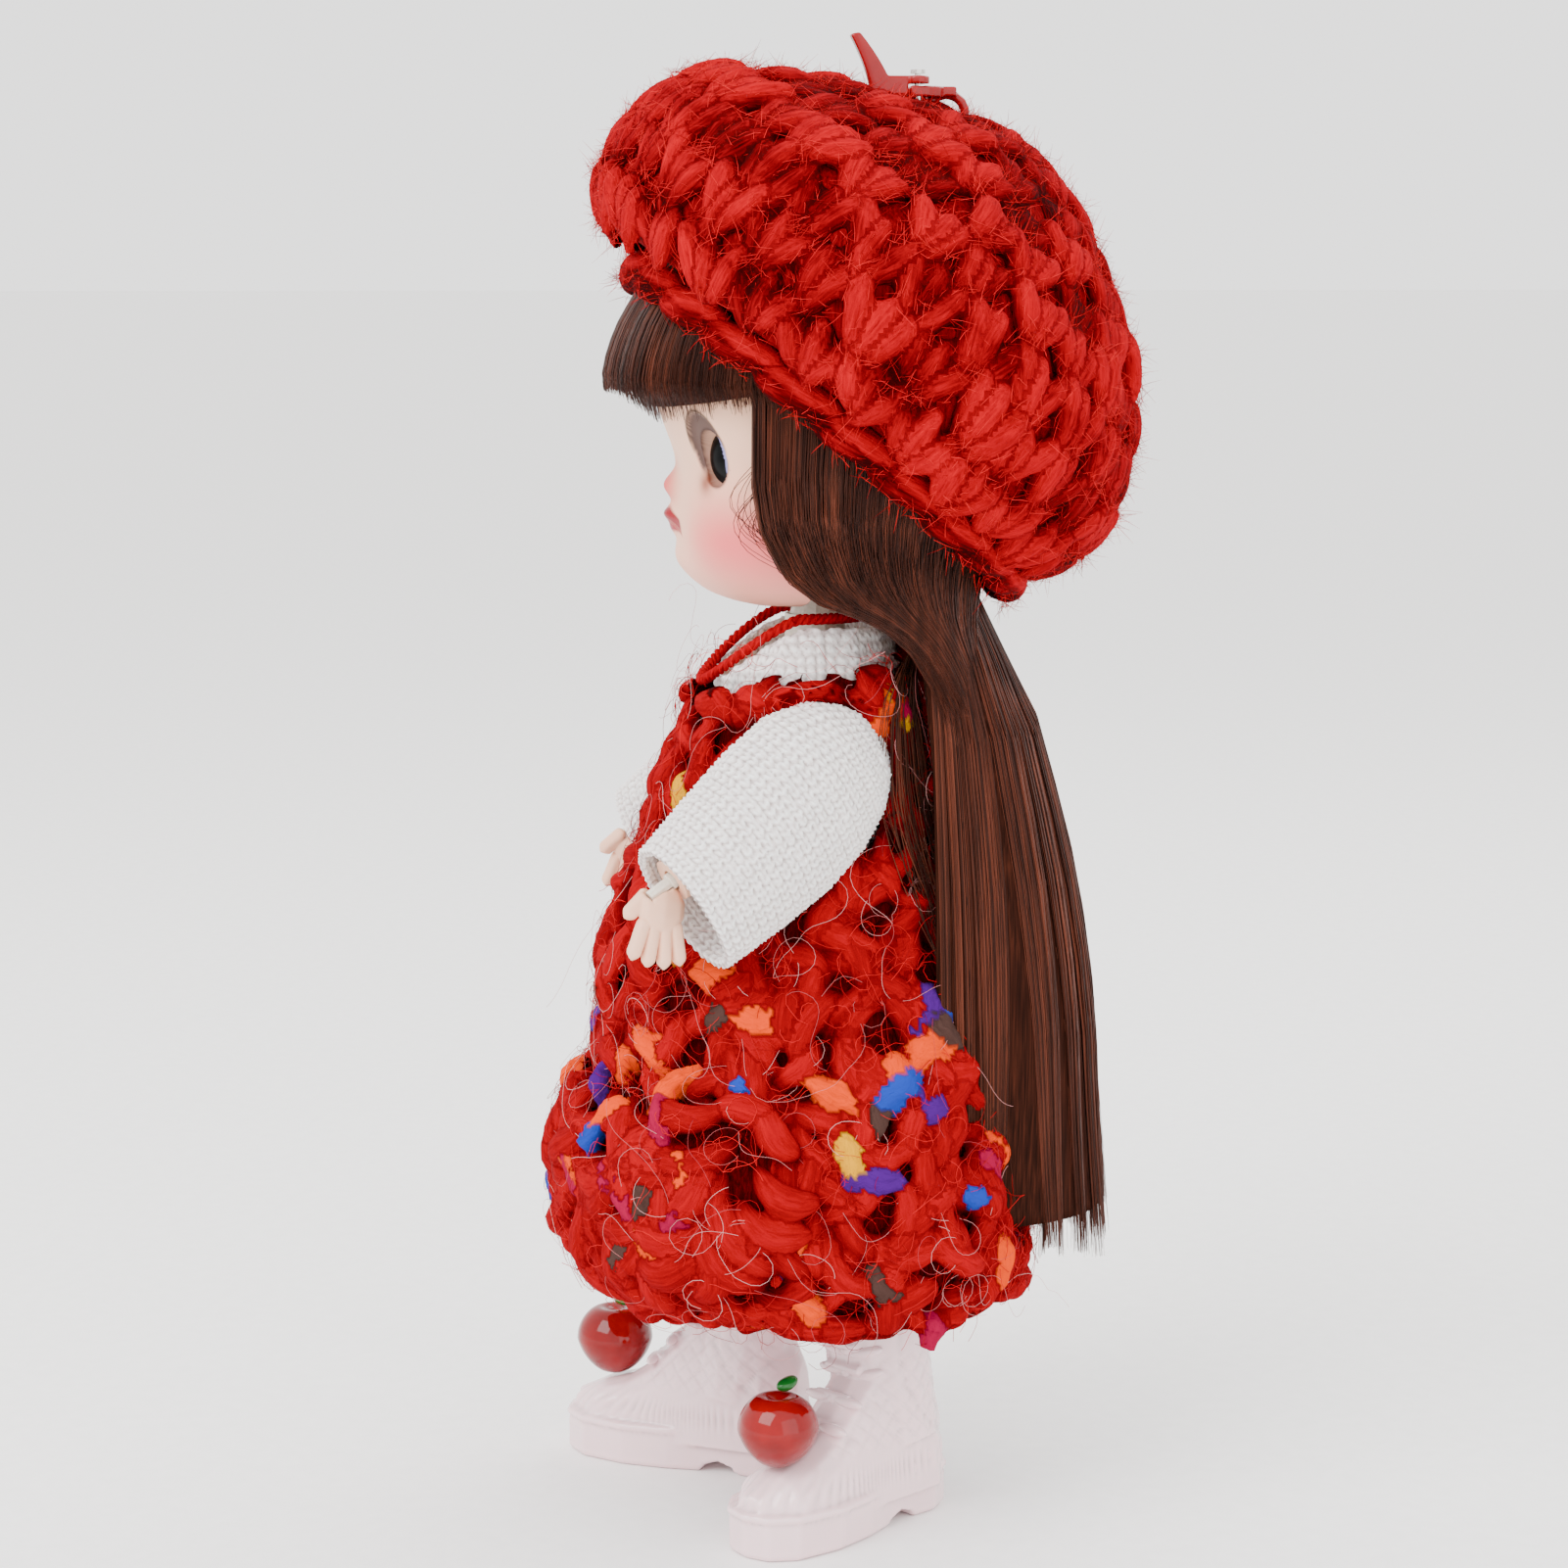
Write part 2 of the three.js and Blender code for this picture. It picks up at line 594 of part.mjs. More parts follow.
// Rolled brim: a ring with one swelling for each stitch
function brimRing(grow, around, sides, relief) {
  const points = [];
  const faces = [];
  for (let i = 0; i < around; i += 1) {
    const angle = (2 * Math.PI * i) / around;
    const tube = BRIM_TUBE + grow + relief(i);
    for (let j = 0; j < sides; j += 1) {
      const turn = (2 * Math.PI * j) / sides;
      const out = tube * Math.cos(turn);
      const x = (BRIM_RADIUS_X + out) * Math.cos(angle);
      const y = (BRIM_RADIUS_Y + out) * Math.sin(angle);
      points.push(x, y, BRIM_TUBE + tube * Math.sin(turn));
      const a = i * sides + j;
      const b = i * sides + ((j + 1) % sides);
      const c = ((i + 1) % around) * sides + ((j + 1) % sides);
      const d = ((i + 1) % around) * sides + j;
      faces.push(a, c, b, a, d, c);
    }
  }
  const geometry = new THREE.BufferGeometry();
  geometry.setAttribute("position", new THREE.Float32BufferAttribute(points, 3));
  geometry.setIndex(faces);
  return solid(geometry);
}
const brim = brimRing(0, 3 * STITCHES_ROUND, 5, (i) => (i % 3 === 0 ? -0.35 : 0));
const brimClear = brimRing(SEAT_GAP + 0.4, 26, 6, () => 0);

// Clasp frame and the pockets that it needs in the top of the crown
const clasp = pivot("clasp_tilt", headPivot, [0, CLASP_Y - NOD_Y, CLASP_HEIGHT - NOD_HEIGHT]);
const plateTop = PLATE_BOTTOM + PLATE_THICKNESS;
const eyeSlot = rod("x", CLASP_EYE_RADIUS + CLASP_WIRE + 0.7, 2 * (CLASP_WIRE + 0.6), 0, 0, 0, 16);
const plateFlat = box(
  -PLATE_HALF_WIDTH - 0.8,
  PLATE_HALF_WIDTH + 0.8,
  PLATE_CENTRE_Y - PLATE_HALF_LENGTH - 0.6,
  2.4,
  PLATE_BOTTOM - 0.4,
  9,
);
const pinBottom = PLATE_BOTTOM - SPRING_TURNS * 0.5 - 0.9;
const springPocket = rod("z", 1.7, 12, GATE_PIN_X, GATE_PIN_Y, pinBottom - 0.7 + 6, 16);
const claspClear = carried(joined(eyeSlot, plateFlat, springPocket), clasp, beret);
piece("beret_crown", cut(crownOuter, crownInner, claspClear), redWool, beret);
piece("beret_brim", brim, redWool, beret);

// Hair on the head, parted by planes parallel to the brim
const underHat = carried(box(-45, 45, -60, 60, CAP_EDGE_HEIGHT, 60), beret, doll);
const belowHat = carried(box(-45, 45, -60, 60, -60, CAP_EDGE_HEIGHT - SEAT_GAP), beret, doll);
const brimInDoll = carried(brimClear, beret, doll);
const hairCap = cut(headForm(HAIR_GAP + CAP_THICKNESS), headClear).intersect(underHat);
piece("hair_cap", fromHead(hairCap), hair, headPivot);

// Shallow grooves that part the hair into locks
const lockGrooves = (depth) => (point, angle) => {
  const groove = depth * (0.5 - 0.5 * Math.cos(HAIR_LOCKS * angle));
  point.x -= groove * Math.cos(angle);
  point.y -= groove * Math.sin(angle);
  return point;
};
const bangsTable = [
  [126, 25.6, -23.4, 27],
  [128, 26.4, -24.6, 28],
  [131, 27.0, -26.2, 28],
  [134, 27.0, -26.0, 28],
  [138, 26.2, -24.6, 28],
  [141, 25.2, -22.9, 28],
  [144, 24.4, -21.0, 27],
  [148, 22.8, -18.2, 26],
];
const bangsOuter = form(bangsTable, {
  levels: heights(126, 148, 7),
  around: 3 * HAIR_LOCKS,
  squareness: 2.15,
  shape: lockGrooves(HAIR_LOCK_DEPTH),
});
const bangsEdge = new THREE.Group();
bangsEdge.position.set(0, BANGS_FRONT_Y, BANGS_BOTTOM);
bangsEdge.rotation.x = Math.atan(BANGS_BOTTOM_SLOPE);
doll.add(bangsEdge);
const aboveEdge = carried(box(-40, 40, -20, 20 + SIDE_HAIR_FRONT_Y - SEAT_GAP, 0, 40), bangsEdge, doll);
doll.remove(bangsEdge);
const bangs = cut(bangsOuter, headClear, brimInDoll)
  .intersect(aboveEdge)
  .intersect(belowHat)
  .intersect(box(-40, 40, -40, SIDE_HAIR_FRONT_Y - SEAT_GAP, 120, 160));
piece("bangs", fromHead(bangs), hair, headPivot);

const sideHairOuter = form(headTable, {
  grow: SIDE_HAIR_THICKNESS + HAIR_GAP,
  levels: coarseHeights,
  around: 3 * HAIR_LOCKS,
  squareness: 2.15,
  shape: lockGrooves(HAIR_LOCK_DEPTH),
});
const sideHair = cut(sideHairOuter, headClear, brimInDoll)
  .intersect(belowHat)
  .intersect(box(SEAT_GAP / 2 + 0.1, 40, SIDE_HAIR_FRONT_Y, 40, SIDE_HAIR_BOTTOM, 160));
piece("side_hair_left", fromHead(sideHair), hair, headPivot);
piece("side_hair_right", fromHead(mirrored(sideHair)), hair, headPivot);

// Clasp: flat cast hook with its eye, lying on the hat
function flatOutline(halfWidth, halfLength, centreY) {
  const outline = new THREE.Shape();
  outline.absellipse(0, centreY, halfWidth, halfLength, 0, 2 * Math.PI);
  return outline;
}
function plate(outline, bottom, thickness, segments = 12) {
  const geometry = new THREE.ExtrudeGeometry(outline, { depth: thickness, bevelEnabled: false, curveSegments: segments });
  return solid(geometry.translate(0, 0, bottom));
}
const hookOutline = flatOutline(PLATE_HALF_WIDTH, PLATE_HALF_LENGTH, PLATE_CENTRE_Y);
const hookOpening = flatOutline(HOOK_OPENING_HALF_WIDTH, HOOK_OPENING_HALF_LENGTH, HOOK_OPENING_Y);
const gateGap = box(0.9, 6, GATE_FRONT_Y, GATE_REAR_Y, 0, 6);
const eyeRing = solid(new THREE.TorusGeometry(CLASP_EYE_RADIUS, CLASP_WIRE, 6, 14).rotateY(Math.PI / 2));
const hookNeck = box(-1, 1, -1.4, 1, CLASP_EYE_RADIUS - 0.2, plateTop);
const hook = cut(
  joined(plate(hookOutline, PLATE_BOTTOM, PLATE_THICKNESS, 9), hookNeck, eyeRing),
  plate(hookOpening, 0, 6, 6),
  gateGap,
  rod("z", GATE_PIN_RADIUS + PIN_HOLE_CLEARANCE, 10, GATE_PIN_X, GATE_PIN_Y, 3, 10),
);
piece("clasp_body", hook, redEnamel, clasp);

// Gate lever in its own frame at the pin, with a thumb tab that curls up
const gate = pivot("gate_swing", clasp, [GATE_PIN_X, GATE_PIN_Y, 0]);
const knuckleBottom = plateTop + SEAT_GAP;
const knuckleTop = knuckleBottom + GATE_KNUCKLE_THICKNESS;
const armInner = 1.2 - GATE_PIN_X;
const armOuter = 3 - GATE_PIN_X;
const armFront = GATE_FRONT_Y + SEAT_GAP - GATE_PIN_Y;
const armRear = GATE_REAR_Y - SEAT_GAP - GATE_PIN_Y;
const tabProfile = new THREE.Shape();
tabProfile.moveTo(armFront + 2, knuckleBottom);
tabProfile.lineTo(armFront, knuckleBottom);
tabProfile.quadraticCurveTo(armFront - 0.6, knuckleTop + 1.6, armFront - 2.2, knuckleTop + GATE_TAB_HEIGHT);
tabProfile.lineTo(armFront - 1.2, knuckleTop + GATE_TAB_HEIGHT + 0.2);
tabProfile.quadraticCurveTo(armFront + 0.8, knuckleTop + 2.4, armFront + 2, knuckleTop);
const tab = new THREE.ExtrudeGeometry(tabProfile, { depth: armOuter - armInner, bevelEnabled: false, curveSegments: 5 });
tab.applyMatrix4(new THREE.Matrix4().makeBasis(
  new THREE.Vector3(0, 1, 0),
  new THREE.Vector3(0, 0, 1),
  new THREE.Vector3(1, 0, 0),
));
tab.translate(armInner, 0, 0);
const gateLever = cut(
  joined(
    box(armInner, armOuter, armFront, armRear, PLATE_BOTTOM, knuckleTop),
    box(armInner, armOuter, armRear - 0.2, 0.2, knuckleBottom, knuckleTop),
    rod("z", GATE_KNUCKLE_RADIUS, GATE_KNUCKLE_THICKNESS, 0, 0, (knuckleBottom + knuckleTop) / 2, 12),
    solid(tab),
  ),
  rod("z", GATE_PIN_RADIUS + PIN_HOLE_CLEARANCE, 10, 0, 0, 3, 10),
);
piece("clasp_gate", gateLever, redEnamel, gate);

const pinTop = knuckleTop + SEAT_GAP;
const gatePin = joined(
  rod("z", GATE_PIN_RADIUS, pinTop - pinBottom + 0.4, GATE_PIN_X, GATE_PIN_Y, (pinTop + pinBottom) / 2, 8),
  rod("z", 0.85, 0.45, GATE_PIN_X, GATE_PIN_Y, pinTop + 0.2, 10),
  rod("z", 1.15, 0.4, GATE_PIN_X, GATE_PIN_Y, pinBottom - 0.1, 10),
);
piece("gate_pin", gatePin, steel, clasp);

// One unbroken coil round the pin, from the rivet head up to the plate
class Coil extends THREE.Curve {
  getPoint(t, target = new THREE.Vector3()) {
    const angle = 2 * Math.PI * SPRING_TURNS * t;
    const low = pinBottom + 0.1 + SEAT_GAP + SPRING_WIRE;
    const high = PLATE_BOTTOM - SEAT_GAP - SPRING_WIRE;
    return target.set(SPRING_RADIUS * Math.cos(angle), SPRING_RADIUS * Math.sin(angle), low + (high - low) * t);
  }
}
const wireSection = new THREE.Shape();
wireSection.absellipse(0, 0, SPRING_WIRE, SPRING_WIRE, 0, 2 * Math.PI);
const coil = new THREE.ExtrudeGeometry(wireSection, {
  steps: SPRING_TURNS * SPRING_STEPS,
  extrudePath: new Coil(),
  bevelEnabled: false,
  curveSegments: 2,
});
piece("gate_spring", solid(coil.translate(GATE_PIN_X, GATE_PIN_Y, 0)), steel, clasp);

// Yarn loop of the hat, threaded through the eye of the clasp
const loopAngle = rad(-45);
const loopCentre = [0, CLASP_EYE_RADIUS * Math.cos(loopAngle), CLASP_EYE_RADIUS * Math.sin(loopAngle)];
const loopGeometry = new THREE.TorusGeometry(LOOP_RADIUS, LOOP_YARN, 7, 14);
loopGeometry.rotateX(loopAngle).translate(...loopCentre);
const loopInBeret = carried(solid(loopGeometry), clasp, beret);
const crownSkin = crownForm(SEAT_GAP, 2 * STITCH_ROWS + 1, 3 * STITCHES_ROUND, stitchRelief);
const yarnLoop = cut(loopInBeret, cut(crownSkin, carried(eyeSlot, clasp, beret)));
piece("hang_loop", yarnLoop, redYarn, beret);

// Torso form and the shells that it is split into
const torsoTable = [
  [55, 3.2, -3.6, 0.6],
  [56.2, 8.4, -6.2, 3.2],
  [58, 10.6, -7.6, 4.8],
  [61, 11.6, -8.8, 6.6],
  [66, 11.3, -9.0, 7.4],
  [74, 9.8, -8.8, 6.2],
  [82, 10.2, -9.8, 5.8],
  [88, 11.2, -10.2, 5.8],
  [92, 11.2, -9.4, 5.2],
  [95, 9.5, -8.2, 4.0],
  [97.5, 6.2, -7.0, 3.0],
  [99.2, 4.9, -6.6, 2.6],
];
const torsoHeights = [55, 56.2, 58, 61, 66, 74, 82, 88, 92, 95, 99.2];
const torsoForm = form(torsoTable, { levels: torsoHeights, around: 16, squareness: 2.2 });
const waistCavity = form(torsoTable, {
  grow: -TORSO_WALL,
  levels: heights(WAIST_CAVITY_BOTTOM, WAIST_CAVITY_TOP, 3),
  around: 12,
  squareness: 2.2,
});
const flangePocket = NECK_FLANGE_THICKNESS + 2 * SEAT_GAP;
const neckPocket = joined(
  rod("z", NECK_FLANGE_RADIUS + SEAT_GAP, flangePocket, 0, NECK_Y, NECK_FLANGE_HEIGHT, 10),
  rod("z", NECK_SHAFT_RADIUS + SEAT_GAP, 12, 0, NECK_Y, NECK_FLANGE_HEIGHT + 6, 10),
);

function shoulderPocket() {
  const flangeX = SHOULDER_BARREL_INNER_X + SHOULDER_FLANGE_THICKNESS / 2;
  const flangeSlot = SHOULDER_FLANGE_THICKNESS + 2 * SEAT_GAP;
  return joined(
    rod("x", SHOULDER_FLANGE_RADIUS + SEAT_GAP, flangeSlot, flangeX, SHOULDER_Y, SHOULDER_HEIGHT, 10),
    rod("x", SHOULDER_BARREL_RADIUS + SEAT_GAP, 10, SHOULDER_BARREL_INNER_X + 5, SHOULDER_Y, SHOULDER_HEIGHT, 10),
  );
}

function hipPocket() {
  const length = 2 * (HIP_BARREL_HALF_LENGTH + SEAT_GAP);
  const slotHalf = HIP_TONGUE_WIDTH / 2 + SEAT_GAP;
  return joined(
    rod("x", HIP_BARREL_RADIUS + SEAT_GAP, length, HIP_X, HIP_Y, HIP_HEIGHT, 10),
    box(HIP_X - slotHalf, HIP_X + slotHalf, HIP_Y - 4.8, HIP_Y + 4.8, HIP_HEIGHT - 12, HIP_HEIGHT),
  );
}
const torsoSplitY = NECK_Y;
const torsoSeatY = 4.2;
const torsoTipY = -5.2;
const pockets = [shoulderPocket(), hipPocket()].flatMap((shape) => [shape, mirrored(shape)]);
const screwHoles = TORSO_SCREW_HEIGHTS.flatMap((z) => [
  boreAlongY(SCREW_SHAFT_RADIUS + 0.05, torsoTipY - 0.6, torsoSeatY, z),
  boreAlongY(SCREW_HEAD_RADIUS + SEAT_GAP, torsoSeatY - SCREW_HEAD_HEIGHT, 12, z),
]);
const torsoCored = cut(torsoForm, waistCavity, neckPocket, ...pockets, ...screwHoles);
const torsoFrontEdge = torsoSplitY - SPLIT_GAP / 2;
const torsoBackEdge = torsoSplitY + SPLIT_GAP / 2;
piece("torso_front", torsoCored.intersect(box(-30, 30, -30, torsoFrontEdge, 40, 120)), skin, doll);
piece("torso_back", torsoCored.intersect(box(-30, 30, torsoBackEdge, 30, 40, 120)), skin, doll);
["torso_screw_upper", "torso_screw_lower"].forEach((name, i) => {
  piece(name, screw(torsoTipY, torsoSeatY, TORSO_SCREW_HEIGHTS[i]), steel, doll);
});

// Neck: flange in the torso, cross barrel in the head
const neck = pivot("neck_turn", doll, [0, NECK_Y, NECK_FLANGE_HEIGHT]);
const up = (z) => z - NECK_FLANGE_HEIGHT;
const barrelY = NOD_Y - NECK_Y;
const neckPost = joined(
  rod("z", NECK_FLANGE_RADIUS, NECK_FLANGE_THICKNESS, 0, 0, 0, 12),
  rod("z", NECK_SHAFT_RADIUS, up(NECK_STEP_HEIGHT) + 0.5, 0, 0, up(NECK_STEP_HEIGHT) / 2, 12),
  rod("z", NECK_RADIUS, 105 - NECK_STEP_HEIGHT, 0, 0, up((NECK_STEP_HEIGHT + 105) / 2), 14),
  rod("z", NECK_RADIUS, NOD_HEIGHT - 105 + 0.2, 0, barrelY / 2, up((NOD_HEIGHT + 105) / 2), 14, 2),
  rod("x", NOD_BARREL_RADIUS, NOD_BARREL_LENGTH, 0, barrelY, up(NOD_HEIGHT), 12),
);
piece("neck_post", neckPost, skin, neck);

// Shirt: follows the torso, then spreads into a soft yoke up to the neckline
const shirtTable = [
  [64, 11.7, -9.4, 7.8],
  [70, 11.1, -9.2, 7.6],
  [76, 10.4, -9.4, 7.0],
  [84, 11.2, -10.4, 6.6],
  [90, 11.8, -10.8, 6.6],
  [95, 11.6, -12.2, 7.0],
  [98, 11.0, -13.6, 7.0],
  [101.5, 9.6, -12.6, 6.6],
  [105.5, 7.7, -9.5, 5.4],
];
const shirtTop = shirtTable[shirtTable.length - 1][0];
const shirtForm = (grow, levels) => form(shirtTable, { grow, levels, around: 16, squareness: 2.2 });
const shirtSpan = heights(shirtTable[0][0], shirtTop, 7);

// The neckline runs level round the back and dips to the chest in front
const necklineHeight = (y) =>
  NECKLINE_HEIGHT - NECKLINE_DIP * (Math.max(NECKLINE_LEVEL_Y - y, 0) / (TRIM_RADIUS_Y + NECKLINE_LEVEL_Y - NECKLINE_Y)) ** 1.35;
const aboveProfile = new THREE.Shape();
aboveProfile.moveTo(30, 120);
aboveProfile.lineTo(30, NECKLINE_HEIGHT - TRIM_CORD - SEAT_GAP);
heights(NECKLINE_LEVEL_Y, NECKLINE_Y - TRIM_RADIUS_Y, 4).forEach((y) => {
  aboveProfile.lineTo(y, necklineHeight(y) - TRIM_CORD - SEAT_GAP);
});
aboveProfile.lineTo(-40, necklineHeight(NECKLINE_Y - TRIM_RADIUS_Y) - TRIM_CORD - SEAT_GAP);
aboveProfile.lineTo(-40, 120);
const alongX = new THREE.Matrix4().makeBasis(
  new THREE.Vector3(0, 1, 0),
  new THREE.Vector3(0, 0, 1),
  new THREE.Vector3(1, 0, 0),
);
const aboveGeometry = new THREE.ExtrudeGeometry(aboveProfile, { depth: 60, bevelEnabled: false }).translate(0, 0, -30);
const aboveNeckline = solid(aboveGeometry.applyMatrix4(alongX));
const shirtArmholes = rod("x", SHIRT_ARMHOLE_RADIUS, 60, 0, SHOULDER_Y, SHOULDER_HEIGHT, 10);
const shirt = cut(
  shirtForm(SHIRT_THICKNESS, heights(SHIRT_BOTTOM, shirtTop - 0.5, 7)),
  shirtForm(0, shirtSpan),
  aboveNeckline,
  shirtArmholes,
);
piece("shirt_body", shirt, whiteKnit, doll);

// Twisted trim round the neckline: two strands laid as one cord
function necklineCord(cord, around, sides, lay) {
  const points = [];
  const faces = [];
  for (let i = 0; i < around; i += 1) {
    const angle = (2 * Math.PI * i) / around;
    for (let j = 0; j < sides; j += 1) {
      const turn = (2 * Math.PI * j) / sides;
      const tube = cord * (1 + 0.22 * Math.cos(2 * turn - lay * angle));
      const out = tube * Math.cos(turn);
      const y = NECKLINE_Y + (TRIM_RADIUS_Y + out) * Math.sin(angle);
      const height = necklineHeight(NECKLINE_Y + TRIM_RADIUS_Y * Math.sin(angle));
      points.push((TRIM_RADIUS_X + out) * Math.cos(angle), y, height + tube * Math.sin(turn));
      const a = i * sides + j;
      const b = i * sides + ((j + 1) % sides);
      const c = ((i + 1) % around) * sides + ((j + 1) % sides);
      const d = ((i + 1) % around) * sides + j;
      faces.push(a, c, b, a, d, c);
    }
  }
  const geometry = new THREE.BufferGeometry();
  geometry.setAttribute("position", new THREE.Float32BufferAttribute(points, 3));
  geometry.setIndex(faces);
  return solid(geometry);
}
const trimClear = necklineCord(TRIM_CORD + SEAT_GAP + 0.2, 20, 6, 0);
piece("collar_trim", necklineCord(TRIM_CORD, 30, 5, 10), redYarn, doll);

// Dress: height, half width, front and back
const dressTable = [
  [DRESS_BOTTOM, 25.4, -24.2, 21.6],
  [34, 26.2, -25.6, 22.4],
  [44, 25.4, -26.0, 22.0],
  [54, 23.4, -26.2, 20.6],
  [62, 21.2, -26.2, 19.0],
  [68, 19.2, -25.4, 17.4],
  [76, 16.6, -22.4, 15.2],
  [84, 15.2, -19.4, 13.0],
  [91, 15.0, -17.4, 11.6],
  [96, 14.6, -16.0, 10.4],
  [99.5, 13.4, -14.4, 9.4],
  [DRESS_STRAP_TOP, 11.4, -13.4, 8.2],
];
const dressTop = dressTable[dressTable.length - 1][0];
function puffRelief(point, angle, height) {
  const row = ((height - DRESS_BOTTOM) / (dressTop - DRESS_BOTTOM)) * PUFF_ROWS;
  const along = PUFFS_ROUND * angle + Math.PI * Math.floor(row);
  const swell = PUFF_DEPTH * (0.5 - 0.5 * Math.cos(2 * Math.PI * row)) * (0.6 + 0.4 * Math.cos(along)) - 0.4;
  point.x += swell * Math.cos(angle);
  point.y += swell * Math.sin(angle);
  return point;
}
const dressSkin = (grow) =>
  form(dressTable, {
    grow,
    levels: heights(DRESS_BOTTOM, dressTop, 2 * PUFF_ROWS + 1),
    around: 3 * PUFFS_ROUND,
    shape: puffRelief,
  });
const dressForm = (grow, levels) => form(dressTable, { grow, levels, around: 18 });
const dressSpan = heights(DRESS_BOTTOM, dressTop, 7);
const skirtMouth = moved(dressForm(-DRESS_THICKNESS, [DRESS_BOTTOM, DRESS_BOTTOM + 4]), 0, 0, -DRESS_THICKNESS - 0.1);
const shirtClear = shirtForm(SHIRT_THICKNESS + CLOTH_GAP, shirtSpan);

// Arm frames, which also shape the armholes
function armFrame(side) {
  const swing = pivot("shoulder_swing", doll, [side * SHOULDER_X, SHOULDER_Y, SHOULDER_HEIGHT], [-ARM_FORWARD, 0, 0]);
  return pivot("arm_raise", swing, [0, 0, 0], [0, -side * ARM_OUTWARD, 0]);
}

// Sleeve: height along the arm, half thickness, and its reach in front of and behind the arm
const sleeveTable = [
  [-SLEEVE_LENGTH, 6.2, -5.0, 11.2],
  [-16, 7.0, -6.8, 11.4],
  [-9, 7.2, -8.2, 11.2],
  [-3, 6.8, -8.8, 10.0],
  [1.5, 5.6, -7.6, 8.2],
  [4.6, 3.8, -5.2, 5.8],
  [SLEEVE_TOP, 1.8, -2.6, 3.0],
];
const sleeveHeights = sleeveTable.map(([height]) => height);
function sleeveForm(grow, side, drop = 0, around = 14) {
  const shape = form(sleeveTable, { grow, levels: sleeveHeights, around, squareness: 2.2 });
  return moved(shape, side * SLEEVE_SHIFT, 0, -drop);
}
const neckHoleShape = new THREE.CylinderGeometry(1, 1, 20, 16).rotateX(Math.PI / 2);
neckHoleShape.scale(DRESS_NECK_HALF_WIDTH, 9.6, 1).translate(0, -2.6, DRESS_NECK_BOTTOM + 10);
const frontNotch = box(-DRESS_NECK_HALF_WIDTH, DRESS_NECK_HALF_WIDTH, -30, -2, DRESS_NECK_BOTTOM, 130);
const armholes = [1, -1].map((side) =>
  rod("x", ARMHOLE_RADIUS, 20, side * (ARMHOLE_INNER_X + 10), ARMHOLE_Y, ARMHOLE_HEIGHT, 14),
);
const armFrames = [armFrame(1), armFrame(-1)];
const sleeveClears = armFrames.map((frame, i) => carried(sleeveForm(0.9, i === 0 ? 1 : -1, 0, 10), frame, doll));
const dress = cut(
  dressSkin(0),
  dressForm(-DRESS_THICKNESS, dressSpan),
  skirtMouth,
  shirtClear,
  solid(neckHoleShape),
  frontNotch,
  ...armholes,
  ...sleeveClears,
  trimClear,
);
piece("dress", dress, dressWool, doll);

const pocketTable = [
  [POCKET_BOTTOM, 23.0, -26.2, 10],
  [30, 25.8, -29.2, 10],
  [35, 27.2, -31.0, 10],
  [41, 27.4, -31.4, 10],
  [47, 26.6, -30.8, 10],
  [50.5, 25.0, -29.2, 10],
  [POCKET_TOP, 23.4, -27.4, 10],
];
const pocketOuter = form(pocketTable, {
  levels: heights(POCKET_BOTTOM, POCKET_TOP, 6),
  around: 3 * PUFFS_ROUND,
  shape: puffRelief,
});
const dressBelowPocket = form(dressTable, {
  grow: PUFF_DEPTH,
  levels: heights(DRESS_BOTTOM, POCKET_TOP + 6, 4),
  around: 24,
});
const pocket = cut(pocketOuter, dressBelowPocket).intersect(box(-40, 40, -40, POCKET_REAR_Y, 20, 60));
piece("dress_pocket", pocket, dressWool, doll);

// Long hair down the back: fits round the dress, the shirt and the head
const hairFallTable = [
  [HAIR_FALL_BOTTOM, 16.5, 8, 33.4],
  [32, 17.2, 6, 33.2],
  [45, 18.6, 4, 32.0],
  [60, 19.4, 3, 31.0],
  [75, 19.4, 2, 28.6],
  [88, 18.8, 1, 25.2],
  [96, 18.0, 0, 22.6],
  [103, 16.6, 0, 18.4],
  [107, 15.0, 0, 16.0],
];
const hairFallOuter = form(hairFallTable, {
  levels: heights(HAIR_FALL_BOTTOM, 107, 8),
  around: 3 * HAIR_LOCKS,
  shape: lockGrooves(2 * HAIR_LOCK_DEPTH),
});
const sleeveSweep = [1, -1].map((side) =>
  rod("x", SLEEVE_SWEEP_RADIUS, 20, side * (SHOULDER_X - 3.4 + 10), SHOULDER_Y, SHOULDER_HEIGHT, 14),
);
const belowBrim = carried(box(-60, 60, -90, 90, -150, -0.4), beret, doll);
const hairFall = cut(
  hairFallOuter,
  dressForm(HAIR_OVER_DRESS, dressSpan),
  moved(dressForm(HAIR_OVER_DRESS, [DRESS_BOTTOM, DRESS_BOTTOM + 6]), 0, 0, -4),
  headForm(HAIR_GAP + SIDE_HAIR_THICKNESS + SEAT_GAP),
  trimClear,
  ...sleeveSweep,
)
  .intersect(box(-30, 30, 8, 60, 20, 120))
  .intersect(belowBrim);
piece("hair_fall", carried(hairFall, doll, neck), hair, neck);

// Arms
function fork(radius, slot, top, bottom) {
  return box(-slot / 2, slot / 2, -radius - 2, radius + 2, bottom, top);
}

